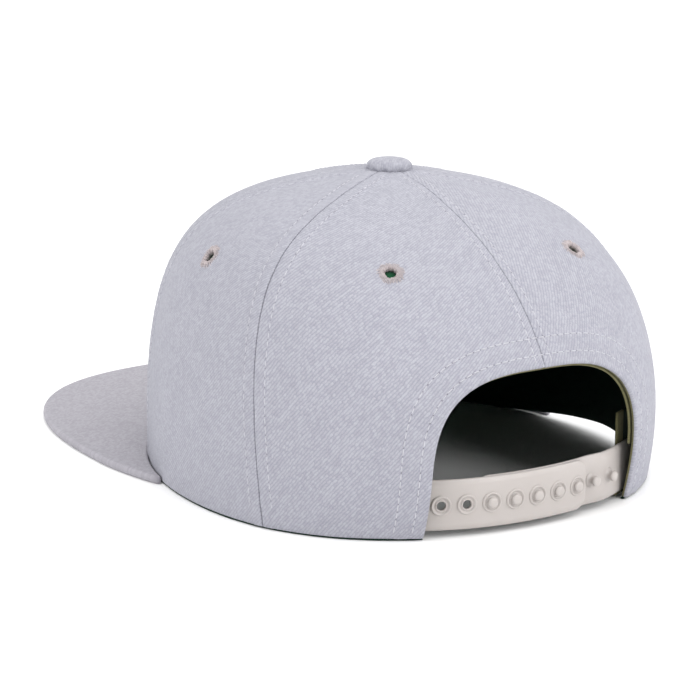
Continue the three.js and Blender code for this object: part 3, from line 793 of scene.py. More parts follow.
def make_panel(kind, side_name, start, end):
    columns = PANEL_COLUMNS[kind]
    side = 1 if side_name == "left" else -1
    place = panel_place(start, end)
    eyelet_angle, eyelet_up = EYELETS[kind]
    eyelet = crown_point(side * math.radians(eyelet_angle), eyelet_up)

    def keep(points):
        distance = np.linalg.norm(points - eyelet, axis=-1) - EYELET_CUT_RADIUS
        if kind != "rear":
            return distance
        return np.minimum(distance, arch_margin(points) - EDGE_ROLL)

    q, faces = clip_grid(columns, PANEL_ROWS, lambda where: crown_point(*place(where)), keep)
    across, along = np.meshgrid(np.linspace(0, 1, columns + 1), np.linspace(0, 1, PANEL_ROWS + 1))
    table_q = np.stack([across, along], -1).reshape(-1, 2)
    grid = crown_point(*place(table_q)).reshape(PANEL_ROWS + 1, columns + 1, 3)
    steps = np.linalg.norm(np.diff(grid, axis=1), axis=-1)
    lengths = np.hstack([np.zeros((PANEL_ROWS + 1, 1)), np.cumsum(steps, axis=1)])
    centre = columns // 2
    rises = np.linalg.norm(np.diff(grid[:, centre], axis=0), axis=-1)
    rise = np.concatenate([[0], np.cumsum(rises)])[:, None] * np.ones((1, columns + 1))
    seam_table = np.minimum(lengths, lengths[:, -1:] - lengths) + SEAM_ROLL
    uv = np.stack([sample(lengths - lengths[:, centre : centre + 1], q), sample(rise, q)], -1)
    angle, up = place(q)
    base, normals = crown_point(angle, up), crown_normal(angle, up)
    arch_distance = np.full(len(q), 1.0)
    if kind == "rear":
        margin = arch_margin(base)
        arch_distance = margin * cloth_stretch(angle, up, base)
    relief = cloth_relief(base, normals, sample(seam_table, q), arch_distance, uv[:, 1])
    outer = base + normals * relief[:, None]
    inner = base - normals * CLOTH_WALL
    roll = np.where(arch_distance < 2 * EDGE_ROLL, EDGE_ROLL, SEAM_ROLL)
    roll = np.where(q[:, 1] < 1e-6, EDGE_ROLL, roll)
    name = f"cloth_panel_{kind}_{side_name}"
    cloths = [crown_twill, green_backing, olive_tape]
    bound = arch_distance < 2 * EDGE_ROLL
    panel = turned_wall(name, outer, inner, faces, uv, roll, cloths, bound=bound)
    finish_piece(panel, "cap_cloth", f"panel_{kind}_{side_name}")
    return outer, faces


# %% All six panels
seams = {}
for side_name, side in (("left", 1), ("right", -1)):
    seams[side_name] = [
        seam(0, 0, side),
        seam(SIDE_SEAM, SIDE_BOW, side),
        seam(REAR_SEAM, REAR_BOW, side),
        seam(180, 0, side),
    ]
outer_points, outer_faces = [], []
for side_name in ("left", "right"):
    for k, kind in enumerate(("front", "side", "rear")):
        ends = seams[side_name][k : k + 2]
        start, end = ends if side_name == "left" else ends[::-1]
        points, faces = make_panel(kind, side_name, start, end)
        shift = sum(len(p) for p in outer_points)
        outer_points.append(points)
        outer_faces += [tuple(shift + v for v in face) for face in faces]
crown_tree = BVHTree.FromPolygons([Vector(p) for p in np.vstack(outer_points)], outer_faces)
print("the crown has", len(outer_faces), "outer faces")

# %% [markdown]
# ## Stitches
# A row of stitches is the same short float of thread again and again, along a path on the cloth, with a
# needle hole between one float and the next. That is what Geometry Nodes are for: the path becomes a mesh
# of points that carry two directions, along the row and out of the cloth, and one node tree puts a copy
# on each of them, turned to fit, a little longer or shorter by chance. The same tree later sets the
# strap's pegs and the rims of its holes.
# The needle holes are drawn as small dark grey discs on the cloth, a painted shade.

# %% A node tree that sets copies on points
def group_input(tree, name, kind, default=None):
    socket = tree.interface.new_socket(name, in_out="INPUT", socket_type=kind)
    if default is not None:
        socket.default_value = default
    return socket


def new_tree(name, inputs):
    tree = bpy.data.node_groups.new(name, "GeometryNodeTree")
    group_input(tree, "Geometry", "NodeSocketGeometry")
    for label, (kind, default) in inputs.items():
        group_input(tree, label, kind, default)
    tree.interface.new_socket("Geometry", in_out="OUTPUT", socket_type="NodeSocketGeometry")
    return tree, tree.nodes.new("NodeGroupInput").outputs, tree.nodes.new("NodeGroupOutput").inputs


def end_tree(tree, instances, finish, output):
    """Every tree ends alike: real meshes, smooth faces and one material."""
    real = add(tree, "GeometryNodeRealizeInstances", {"Geometry": instances}).outputs[0]
    soft = add(tree, "GeometryNodeSetShadeSmooth", {"Geometry": real}).outputs[0]
    dressed = add(tree, "GeometryNodeSetMaterial", {"Geometry": soft, "Material": finish}).outputs[0]
    tree.links.new(dressed, output)


def random_stretch(tree, jitter, seed):
    """A scale that makes each copy longer or shorter along its own x, by up to jitter either way."""
    shortest = add(tree, "ShaderNodeMath", {0: 1.0, 1: jitter}, operation="SUBTRACT").outputs[0]
    longest = add(tree, "ShaderNodeMath", {0: 1.0, 1: jitter}, operation="ADD").outputs[0]
    limits = {"Min": shortest, "Max": longest, "Seed": seed}
    length = add(tree, "FunctionNodeRandomValue", limits, data_type="FLOAT").outputs["Value"]
    return add(tree, "ShaderNodeCombineXYZ", {0: length, 1: 1.0, 2: 1.0}).outputs[0]


copies_tree, given, result = new_tree(
    "copies_on_points",
    {
        "Copy": ("NodeSocketObject", None),
        "Length Jitter": ("NodeSocketFloat", 0.0),
        "Seed": ("NodeSocketInt", 1),
        "Finish": ("NodeSocketMaterial", None),
    },
)
out_axis = add(copies_tree, "GeometryNodeInputNamedAttribute", {"Name": "out"}, data_type="FLOAT_VECTOR")
along_axis = add(copies_tree, "GeometryNodeInputNamedAttribute", {"Name": "along"}, data_type="FLOAT_VECTOR")
upright = add(
    copies_tree, "FunctionNodeAlignRotationToVector", {"Vector": out_axis.outputs[0]}, axis="Z"
)
turned = add(
    copies_tree,
    "FunctionNodeAlignRotationToVector",
    {"Rotation": upright.outputs[0], "Vector": along_axis.outputs[0]},
    axis="X",
    pivot_axis="Z",
)
scale = random_stretch(copies_tree, given["Length Jitter"], given["Seed"])
source = add(copies_tree, "GeometryNodeObjectInfo", {"Object": given["Copy"]})
copies = add(
    copies_tree,
    "GeometryNodeInstanceOnPoints",
    {
        "Points": given["Geometry"],
        "Instance": source.outputs["Geometry"],
        "Rotation": turned.outputs[0],
        "Scale": scale,
    },
)
end_tree(copies_tree, copies.outputs[0], given["Finish"], result[0])


def grow(name, mesh, tree, values):
    """Runs a node tree on a mesh and keeps the result as a plain mesh."""
    piece = bpy.data.objects.new(name, mesh)
    bpy.context.scene.collection.objects.link(piece)
    modifier = piece.modifiers.new("grow", "NODES")
    modifier.node_group = tree
    sockets = {s.name: s.identifier for s in tree.interface.items_tree if s.in_out == "INPUT"}
    for label, value in values.items():
        modifier[sockets[label]] = value
    depsgraph = bpy.context.evaluated_depsgraph_get()
    made = bpy.data.meshes.new_from_object(piece.evaluated_get(depsgraph), depsgraph=depsgraph)
    piece.modifiers.remove(modifier)
    piece.data = made
    return piece


def point_mesh(name, places, along, out):
    mesh = bpy.data.meshes.new(name)
    mesh.from_pydata([tuple(map(float, p)) for p in places], [], [])
    for label, vectors in (("along", along), ("out", out)):
        attribute = mesh.attributes.new(label, "FLOAT_VECTOR", "POINT")
        attribute.data.foreach_set("vector", np.asarray(vectors, np.float32).ravel())
    return mesh


def set_copies(name, template, places, along, out, finish, jitter=0.0, seed=1):
    values = {"Copy": template, "Length Jitter": jitter, "Seed": seed, "Finish": finish}
    return grow(name, point_mesh(name, places, along, out), copies_tree, values)


print("tree:", copies_tree.name, "with", len(copies_tree.nodes), "nodes")


# %% Simple solids for the copies
def lathe(profile, sides):
    """Points and faces of a profile (radius, height) turned round Z. Its ends lie on the axis, or meet."""
    closed = profile[0][0] > 0
    points, rows = [], []
    for radius, height in profile:
        if radius == 0:
            rows.append([len(points)] * sides)
            points.append((0, 0, height))
            continue
        rows.append(list(range(len(points), len(points) + sides)))
        for k in range(sides):
            turn = math.tau * k / sides
            points.append((radius * math.cos(turn), radius * math.sin(turn), height))
    faces = []
    for k in range(len(rows) if closed else len(rows) - 1):
        low, high = rows[k], rows[(k + 1) % len(rows)]
        for i in range(sides):
            j = (i + 1) % sides
            face = list(dict.fromkeys((low[i], low[j], high[j], high[i])))
            faces.append(tuple(face))
    return np.array(points, float), faces


def in_mm(profile):
    return [(radius * MM, height * MM) for radius, height in profile]


def sweep(sections):
    """Joins a row of closed sections into one body with flat ends. Sections turn left along the row."""
    size = len(sections[0])
    points = np.vstack(sections)
    faces = [tuple(reversed(range(size)))]
    for k in range(len(sections) - 1):
        for i in range(size):
            j = (i + 1) % size
            a, b = k * size, (k + 1) * size
            faces.append((a + i, a + j, b + j, b + i))
    faces.append(tuple(range((len(sections) - 1) * size, len(sections) * size)))
    return points, faces


STITCH_LENGTH = 2.35 * MM
THREAD_HALF_WIDTH = 0.21 * MM
THREAD_HEIGHT = 0.17 * MM
stitch_sections = []
for share, size, drop in ((-0.5, 0.55, 0.14), (-0.28, 1.0, 0.02), (0.28, 1.0, 0.02), (0.5, 0.55, 0.14)):
    ring = [math.tau * k / 6 for k in range(6)]
    stitch_sections.append(
        [
            (
                share * STITCH_LENGTH,
                THREAD_HALF_WIDTH * size * math.cos(t),
                THREAD_HEIGHT * size * math.sin(t) - drop * MM + 0.03 * MM,
            )
            for t in ring
        ]
    )
stitch_template = make_mesh("stitch_template", *sweep([np.array(s) for s in stitch_sections]), [])
# Each needle hole is a small dark disc on the cloth: painted shade where the thread dives in
needle_shade_profile = in_mm([(0, -0.1), (0.26, -0.04), (0.2, 0.04), (0, 0.05)])
needle_hole_template = make_mesh("needle_hole_template", *lathe(needle_shade_profile, 6), [])
print("one stitch has", triangles_of(stitch_template), "triangles")


# %% Thread
def satin_thread(name, dark, light, roughness):
    """Polyester thread: two smooth strands twisted together. A wave along the twist lightens the colour on
    the strands' crowns, a painted highlight, and also gives the bump.
    """
    material, tree, output = new_material(name)
    place = add(tree, "ShaderNodeTexCoord").outputs["Object"]
    twist = add(tree, "ShaderNodeTexWave", {"Vector": place, "Scale": 520.0, "Distortion": 3.0})
    tone = soft_noise(tree, place, 1.4 * MM, 2.0)
    # The colour is a soft noise in the thread's tone, with the twist's wave painted in as highlights on the
    # strands' crowns
    shade = add(tree, "ShaderNodeMix", {0: 0.35, 2: tone, 3: twist.outputs[1]}).outputs[0]
    colour = add(tree, "ShaderNodeMix", {0: shade, 6: seen(dark), 7: seen(light)}, data_type="RGBA")
    relief = add(tree, "ShaderNodeBump", {"Height": twist.outputs[1], "Strength": 0.3, "Distance": 0.05 * MM})
    shader = add(
        tree,
        "ShaderNodeBsdfPrincipled",
        {
            "Base Color": colour.outputs[2],
            "Normal": relief.outputs[0],
            "Roughness": roughness,
            "Sheen Weight": 0.15,
            "Specular IOR Level": 0.35,
        },
    )
    tree.links.new(shader.outputs[0], output.inputs[0])
    return material


grey_thread = satin_thread("pale_grey_polyester_thread", "#C4C3CE", "#E4E3EA", 0.55)
beige_thread = satin_thread("pinkish_beige_embroidery_thread", "#C0B0B0", "#F5EBEC", 0.45)
# Dark grey for the needle holes: painted shade, not a colour of the thread or the cloth
shaded_pit = satin_thread("shaded_needle_hole", "#7C7784", "#9A96A2", 0.9)


# %% Rows of stitches beside the seams and the arch
def on_cloth(points):
    """The nearest place on the panels' outer faces, and the way out of the cloth there."""
    found = [crown_tree.find_nearest(Vector(point)) for point in points]
    return np.array([tuple(hit[0]) for hit in found]), np.array([tuple(hit[1]) for hit in found])


def at_pitch(path, pitch, first=0.5):
    """Places at an even pitch along a path, and the path's direction at each."""
    lengths = np.concatenate([[0], np.cumsum(np.linalg.norm(np.diff(path, axis=0), axis=-1))])
    marks = np.arange(first * pitch, lengths[-1], pitch)
    places = np.stack([np.interp(marks, lengths, path[:, k]) for k in range(3)], -1)
    ahead = np.stack([np.interp(marks + 0.3 * pitch, lengths, path[:, k]) for k in range(3)], -1)
    return places, unit(ahead - places)


def seam_rows(seam_at, lowest):
    """The two rows beside a seam. They close up where the panels run together under the button."""
    up = np.linspace(lowest, 0.93, 160)
    paths = []
    for side in (-1, 1):
        width = np.linalg.norm(crown_tangent(seam_at(up), up), axis=-1)
        offset = np.minimum(STITCH_FROM_SEAM, 0.4 * width)
        paths.append(crown_point(seam_at(up) + side * offset / width, up))
    return paths


def arch_row(distance):
    """A row beside the arch's edge, from one foot over the top to the other."""
    turns = np.linspace(0, math.pi, 91)
    leg = np.linspace(3 * MM, ARCH_SPRING_HEIGHT, 8, endpoint=False)
    turn = np.concatenate([np.zeros(8), turns, np.full(8, math.pi)])
    legs = np.concatenate([leg, np.full(91, -1.0), leg[::-1]])
    margin = np.full(len(turn), distance)
    for _ in range(3):
        x, z = arch_point(turn, margin)
        z = np.where(legs > 0, legs, z)
        angle, up = crown_behind(x, z)
        margin = distance / cloth_stretch(angle, up, crown_point(angle, up))
    return crown_point(angle, up)


all_seams = {
    "front": (seams["left"][0], 0.05),
    "side_left": (seams["left"][1], 0.05),
    "side_right": (seams["right"][1], 0.05),
    "rear_left": (seams["left"][2], 0.03),
    "rear_right": (seams["right"][2], 0.03),
    "back": (seams["left"][3], 0.2),
}
rows = [path for seam_at, lowest in all_seams.values() for path in seam_rows(seam_at, lowest)]
rows = [path[(arch_margin(path) > 1.2 * MM)] for path in rows]
seam_row_count = len(rows)
rows += [arch_row(distance) for distance in ARCH_ROWS]
for label, chosen in (("seam", rows[:seam_row_count]), ("arch", rows[seam_row_count:])):
    pitch = STITCH_PITCH if label == "seam" else ARCH_STITCH_PITCH
    floats = [at_pitch(path, pitch) for path in chosen]
    pits = [at_pitch(path, pitch, 1.0) for path in chosen]
    places, out = on_cloth(np.vstack([f[0] for f in floats]))
    along = np.vstack([f[1] for f in floats])
    stitches = set_copies(f"{label}_stitches", stitch_template, places, along, out, grey_thread, 0.1, 7)
    finish_piece(stitches, "cap_cloth")
    # A dark disc at each needle hole between the floats, a painted shade
    places, out = on_cloth(np.vstack([p[0] for p in pits]))
    along = np.vstack([p[1] for p in pits])
    holes = set_copies(f"{label}_needle_holes", needle_hole_template, places, along, out, shaded_pit)
    finish_piece(holes, "cap_cloth")

# %% [markdown]
# ## Eyelets
# A vent eyelet is a hole with thread sewn round and round its edge. Each pass of the thread starts out on
# the cloth, climbs to the ring's crown, dives through the hole and comes back out inside. So one pass is
# drawn as a line, a node tree gives it thickness and repeats it round the hole, and chance makes some
# passes reach a little further than others, which gives the ragged edge that embroidery has. Behind each
# hole lies a disc of the green lining, because green shows through the clearest eyelet on the photo.
# The discs' green is lighter than the lining's elsewhere: painted light, for the light that falls through the
# hole.

# %% Eyelets
THREAD_PASSES = 52
THREAD_PASS_RADIUS = 0.125 * MM
PASS_LINE = in_mm(
    [
        (4.75, -0.1), (4.3, 0.2), (3.6, 0.42), (2.95, 0.45), (2.5, 0.25), (2.2, -0.2), (2.15, -1.0),
        (2.6, -1.7), (3.6, -2.0),
    ]
)

ring_tree, given, result = new_tree(
    "threads_round_a_hole",
    {
        "Passes": ("NodeSocketInt", THREAD_PASSES),
        "Thread Radius": ("NodeSocketFloat", THREAD_PASS_RADIUS),
        "Raggedness": ("NodeSocketFloat", 0.1),
        "Seed": ("NodeSocketInt", 3),
        "Finish": ("NodeSocketMaterial", None),
    },
)
line = add(ring_tree, "GeometryNodeMeshToCurve", {"Mesh": given["Geometry"]})
round_section = {"Resolution": 5, "Radius": given["Thread Radius"]}
section = add(ring_tree, "GeometryNodeCurvePrimitiveCircle", round_section)
thread = add(
    ring_tree,
    "GeometryNodeCurveToMesh",
    {"Curve": line.outputs[0], "Profile Curve": section.outputs[0], "Fill Caps": True},
)
passes = add(ring_tree, "GeometryNodePoints", {"Count": given["Passes"]})
index = add(ring_tree, "GeometryNodeInputIndex")
share = add(ring_tree, "ShaderNodeMath", {0: index.outputs[0], 1: given["Passes"]}, operation="DIVIDE")
angle = add(ring_tree, "ShaderNodeMath", {0: share.outputs[0], 1: math.tau}, operation="MULTIPLY")
spin = add(ring_tree, "ShaderNodeCombineXYZ", {2: angle.outputs[0]})
stretch = random_stretch(ring_tree, given["Raggedness"], given["Seed"])
ring = add(
    ring_tree,
    "GeometryNodeInstanceOnPoints",
    {
        "Points": passes.outputs[0],
        "Instance": thread.outputs[0],
        "Rotation": spin.outputs[0],
        "Scale": stretch,
    },
)
end_tree(ring_tree, ring.outputs[0], given["Finish"], result[0])


def set_on_crown(piece, place, out):
    """Moves a mesh that was made round Z onto the crown."""
    turn = Vector(out).to_track_quat("Z", "Y").to_matrix().to_4x4()
    piece.data.transform(Matrix.Translation(Vector(place)) @ turn)


BACKING_DEPTH = 1.9 * MM
SEAT_RADIUS = 4.8 * MM
EYELET_VALUES = {"Passes": THREAD_PASSES, "Seed": 3, "Finish": beige_thread}
eyelet_seats = []
for side_name, side in (("left", 1), ("right", -1)):
    for kind, (degrees, up) in EYELETS.items():
        angle_here = side * math.radians(degrees)
        place = crown_point(angle_here, up)
        out = crown_normal(angle_here, up)
        across = unit(np.cross(out, [0, 0, 1]))
        above = np.cross(across, out)
        turns = np.linspace(0, math.tau, 12, endpoint=False)[:, None]
        circle = place + SEAT_RADIUS * (np.cos(turns) * across + np.sin(turns) * above)
        seat, _ = on_cloth(circle)
        place = place + out * ((seat - circle) @ out).mean()
        line_mesh = bpy.data.meshes.new("pass_line")
        line_edges = [(k, k + 1) for k in range(len(PASS_LINE) - 1)]
        line_mesh.from_pydata([(r, 0, z) for r, z in PASS_LINE], line_edges, [])
        name = f"embroidered_eyelet_{kind}_{side_name}"
        eyelet = grow(name, line_mesh, ring_tree, EYELET_VALUES)
        set_on_crown(eyelet, place, out)
        finish_piece(eyelet, "eyelet_thread", f"eyelet_{kind}_{side_name}")
        eyelet_seats.append((place - out * BACKING_DEPTH, across, out))

points, faces = lathe(in_mm([(0, -0.15), (3.6, -0.15), (3.6, 0.15), (0, 0.15)]), 20)
backing_disc = make_mesh("backing_disc", points, faces, [], None, points[:, :2])
places, along, out = (np.array(column) for column in zip(*eyelet_seats))
# The lining's green, made lighter than on the rest of the lining: painted light falling through each eyelet
eyelet_green_painted_lit = woven_cotton("green_lining_painted_lighter_behind_eyelets", "#1A5A3B", "#257048", 0.8 * MM)
backings = set_copies("eyelet_backings", backing_disc, places, along, out, eyelet_green_painted_lit)
finish_piece(backings, "cap_cloth")
bpy.data.objects.remove(backing_disc)

# %% [markdown]
# ## The covered button
# The button is a metal shell with a disc of the crown's cloth gathered over it. The cloth lies flat on
# top, and towards the lower edge, where the gathers are pulled in, it breaks into small folds. The body
# is a profile turned on the button's axis. A node tree then pushes its side in and out in waves, which
# fade out towards the top. A shank runs through the crown to a flat plate inside.

# %% Button
BUTTON_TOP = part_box("button")[1].z
BUTTON_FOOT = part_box("button")[0].z
BUTTON_AXIS_Y = CROWN_CENTRE_Y + TOP_SHIFT
SIDES_OF_BUTTON = 96
profile = in_mm([(0, 0), (5.7, 0), (6, 0.25), (6, 0.6), (5.7, 0.8), (2.6, 0.8)])
profile = [(radius, height + BUTTON_FOOT) for radius, height in profile]
dome_low = BUTTON_TOP - 4.6 * MM
profile += [(2.6 * MM, dome_low + 0.4 * MM), (6.8 * MM, dome_low), (7.9 * MM, dome_low + 0.2 * MM)]
WIDEST_HEIGHT = dome_low + 1.4 * MM
DOME_POWER = 0.62
profile.append((8.35 * MM, dome_low + 0.7 * MM))
for k in range(26):
    lift = math.pi / 2 * (k / 26) ** 1.2
    height = WIDEST_HEIGHT + (BUTTON_TOP - WIDEST_HEIGHT) * math.sin(lift) ** 0.85
    profile.append((8.5 * MM * math.cos(lift) ** DOME_POWER, height))
profile.append((0, BUTTON_TOP))
points, faces = lathe(profile, SIDES_OF_BUTTON)
steps = np.hypot(*np.diff(np.array(profile), axis=0).T)
from_top = np.concatenate([[0], np.cumsum(steps[::-1])])[::-1]
from_top = np.repeat(from_top, [1 if radius == 0 else SIDES_OF_BUTTON for radius, _ in profile])
around = np.arctan2(points[:, 1], points[:, 0])
button_uv = np.stack([from_top * np.cos(around), from_top * np.sin(around)], -1)
button_body = make_mesh("button_body", points, faces, [button_wool], None, button_uv)

UNSTEADY_SIZE = 1 / 240
UNSTEADY_TURN = 0.9
gather_tree, given, result = new_tree(
    "gathered_edge",
    {
        "Folds": ("NodeSocketFloat", 15.0),
        "Depth": ("NodeSocketFloat", 0.38 * MM),
        "Lower Edge": ("NodeSocketFloat", 0.0),
        "Fade Height": ("NodeSocketFloat", 3.2 * MM),
        "Finish": ("NodeSocketMaterial", None),
    },
)
position = add(gather_tree, "GeometryNodeInputPosition").outputs[0]
parts = add(gather_tree, "ShaderNodeSeparateXYZ", {0: position})
sides = {0: parts.outputs[1], 1: parts.outputs[0]}
angle = add(gather_tree, "ShaderNodeMath", sides, operation="ARCTAN2").outputs[0]
unsteady = soft_noise(gather_tree, position, UNSTEADY_SIZE, 1.0)
drifting = {0: unsteady, 1: UNSTEADY_TURN, 2: angle}
angle = add(gather_tree, "ShaderNodeMath", drifting, operation="MULTIPLY_ADD").outputs[0]
wave = add(gather_tree, "ShaderNodeMath", {0: angle, 1: given["Folds"]}, operation="MULTIPLY").outputs[0]
wave = add(gather_tree, "ShaderNodeMath", {0: wave}, operation="SINE").outputs[0]
rise = {0: parts.outputs[2], 1: given["Lower Edge"]}
height = add(gather_tree, "ShaderNodeMath", rise, operation="SUBTRACT")
fade = add(
    gather_tree,
    "ShaderNodeMapRange",
    {0: height.outputs[0], 1: 0.0, 2: given["Fade Height"], 3: 1.0, 4: 0.0},
    interpolation_type="SMOOTHSTEP",
).outputs[0]
above_shank = {0: height.outputs[0], 1: -1 * MM}
above_shank = add(gather_tree, "ShaderNodeMath", above_shank, operation="GREATER_THAN").outputs[0]
fade = add(gather_tree, "ShaderNodeMath", {0: fade, 1: above_shank}, operation="MULTIPLY").outputs[0]
push = add(gather_tree, "ShaderNodeMath", {0: wave, 1: fade}, operation="MULTIPLY").outputs[0]
push = add(gather_tree, "ShaderNodeMath", {0: push, 1: given["Depth"]}, operation="MULTIPLY").outputs[0]
level = add(gather_tree, "ShaderNodeCombineXYZ", {0: parts.outputs[0], 1: parts.outputs[1]})
outward = add(gather_tree, "ShaderNodeVectorMath", {0: level.outputs[0]}, operation="NORMALIZE").outputs[0]
offset = add(gather_tree, "ShaderNodeVectorMath", {0: outward, 3: push}, operation="SCALE").outputs[0]
gathered = add(gather_tree, "GeometryNodeSetPosition", {"Geometry": given["Geometry"], "Offset": offset})
end_tree(gather_tree, gathered.outputs[0], given["Finish"], result[0])

values = {"Lower Edge": dome_low, "Finish": button_wool}
button = grow("covered_button", button_body.data, gather_tree, values)
bpy.data.objects.remove(button_body)
button.data.transform(Matrix.Translation((0, BUTTON_AXIS_Y, 0)))
finish_piece(button, "cap_cloth", "button")

# %% [markdown]
# ## The visor
# The visor is a stiff flat board with cloth on both faces, folded round its edge. Its outline is one broad
# curve in front, two side returns and, at the back, the crown's own rim. A grid from the rim to the
# outline gives an even sheet, and the turned wall rounds its edge. The cloth is stretched over the board,
# so the sheet stays flat, and the photo shows no rows of stitches on it. Its underside, which nobody sees
# while the cap stands on a table, is dark green cotton.

# %% Visor
VISOR_HALF_WIDTH = 95.8 * MM
VISOR_WIDEST_AT = 41.4 * MM
VISOR_EXPONENT = 2.66
VISOR_THICKNESS = 3.1 * MM
VISOR_END = math.radians(80)
VISOR_END_WIDTH = 2 * MM
VISOR_SEAM_GAP = 0.45 * MM
VISOR_ROLL = 1.2 * MM
TABLE_CLEARANCE = 0.03 * MM


def visor_outline():
    """The outer edge from the left end round the front to the right end, in the crown's own frame."""
    end_angle = np.array(VISOR_END)
    end = rim_point(end_angle) + rim_outward(end_angle) * (VISOR_SEAM_GAP + VISOR_END_WIDTH)
    front_y, widest_y = -(FRONT_LENGTH + VISOR_PROJECTION), VISOR_WIDEST_AT - FRONT_LENGTH
    t = np.linspace(0, 1, 40, endpoint=False)[:, None]
    bend = np.array([VISOR_HALF_WIDTH, end[1] + 0.6 * (widest_y - end[1])])
    widest = np.array([VISOR_HALF_WIDTH, widest_y])
    side = (1 - t) ** 2 * end[:2] + 2 * t * (1 - t) * bend + t**2 * widest
    turn = np.linspace(0, math.pi, 241)
    x = VISOR_HALF_WIDTH * signed_power(np.cos(turn), 2 / VISOR_EXPONENT)
    y = widest_y + (front_y - widest_y) * np.abs(np.sin(turn)) ** (2 / VISOR_EXPONENT)
    other = side[::-1] * [-1, 1]
    return np.vstack([side, np.stack([x, y], -1), other])


def along_line(line, share):
    lengths = np.concatenate([[0], np.cumsum(np.linalg.norm(np.diff(line, axis=0), axis=-1))])
    return np.stack([np.interp(share * lengths[-1], lengths, line[:, k]) for k in range(2)], -1)


outline = visor_outline()
COLUMNS, ROWS = 200, 30
EDGE_CROWDING = 0.8
shares = np.linspace(0.002, 0.998, COLUMNS + 1)
rim_angles = VISOR_END * (1 - 2 * np.linspace(0, 1, 401))
rim_line = (rim_point(rim_angles) + rim_outward(rim_angles) * VISOR_SEAM_GAP)[:, :2]
near_line, far_line = along_line(rim_line, shares), along_line(outline, shares)
width = np.linalg.norm(far_line - near_line, axis=-1)
roll = np.minimum(VISOR_ROLL, 0.32 * width)
inset = (roll / width)[None, :, None]
row_share = np.linspace(0, 1, ROWS + 1)
row_share = (row_share - EDGE_CROWDING * np.sin(math.tau * row_share) / math.tau)[:, None, None]
top = near_line + (far_line - near_line) * (inset + row_share * (1 - 2 * inset))
flat = np.concatenate([top, np.full(top.shape[:2] + (1,), VISOR_THICKNESS)], -1).reshape(-1, 3)
flat[:, 1] += CROWN_CENTRE_Y
under = flat * [1, 1, 0] + [0, 0, TABLE_CLEARANCE]
faces = []
for i in range(ROWS):
    for j in range(COLUMNS):
        a = i * (COLUMNS + 1) + j
        faces.append((a, a + 1, a + COLUMNS + 2, a + COLUMNS + 1))
rolls = np.tile(roll, ROWS + 1)
visor = turned_wall("cloth_visor", flat, under, faces, flat[:, :2], rolls, [visor_wool, green_backing], 8, 8)
finish_piece(visor, "visor_cloth", "visor")

# %% [markdown]
# ## The strap
# The strap is two flat mouldings of soft, satin plastic, sewn in at the arch's feet. The one from the left
# has seven holes, each in a raised rim with a dished floor. The one from the right has seven pegs. It lies
# underneath, and five of its pegs are pushed through. Both are bent round the back of the head, so they
# are made flat, along and up, and then laid on the rim's own line.

# %% The strap's line
STRAP_HEIGHT = 18.2 * MM
STRAP_LIFT = 2.5 * MM
STRAP_WALL = 1.4 * MM
STRAP_INSET_MIDDLE = 0.15 * MM
STRAP_INSET_EDGE = 2.1 * MM
STRAP_TAIL = 12 * MM
STRAP_CORNER = 5 * MM
HOLE_COUNT = 7
HOLE_PITCH = 9.15 * MM
FIRST_HOLE = 38.3 * MM
HOLES_LEFT_OPEN = 2
END_MARGIN = 5.2 * MM
LAYER_STEP = 1.7 * MM
STRAP_MIDDLE_HEIGHT = STRAP_LIFT + STRAP_HEIGHT / 2


def strap_line(angle, inset):
    point = rim_point(angle)
    share = np.minimum(1, np.abs(point[..., 0]) / ARCH_HALF_WIDTH)
    depth = STRAP_INSET_MIDDLE + (STRAP_INSET_EDGE - STRAP_INSET_MIDDLE) * share**2 + inset
    point = point - rim_outward(angle) * depth[..., None]
    point[..., 1] += CROWN_CENTRE_Y
    return point


station_angle = np.radians(np.arange(90, 270.25, 0.25))
station_line = strap_line(station_angle, np.zeros_like(station_angle))
station_along = np.concatenate([[0], np.cumsum(np.linalg.norm(np.diff(station_line, axis=0), axis=-1))])
station_along = station_along[len(station_along) // 2] - station_along


def angle_along_strap(along):
    return np.interp(-along, -station_along, station_angle)


def strap_point(along, height, inset):
    angle = angle_along_strap(along)
    point = strap_line(angle, inset)
    point[..., 2] = STRAP_MIDDLE_HEIGHT + height
    return point


LAST_HOLE = FIRST_HOLE - (HOLE_COUNT - 1) * HOLE_PITCH
LEFT_STRAP_END = LAST_HOLE - END_MARGIN
FIRST_PEG = FIRST_HOLE - HOLES_LEFT_OPEN * HOLE_PITCH
RIGHT_STRAP_END = FIRST_PEG + END_MARGIN
arch_edge_angle, _ = crown_behind(np.array([ARCH_HALF_WIDTH]), np.array([0.0]))
TAIL_ALONG = float(np.interp(-arch_edge_angle[0], -station_angle[::-1], station_along[::-1])) + STRAP_TAIL
print("strap from", round(LEFT_STRAP_END / MM, 1), "to", round(TAIL_ALONG / MM, 1), "mm along the back")


def under_inset(along):
    start, end = -LEFT_STRAP_END + 0.6 * MM, -LEFT_STRAP_END + STRAP_TAIL
    return LAYER_STEP * (1 - smooth((-along - start) / (end - start)))


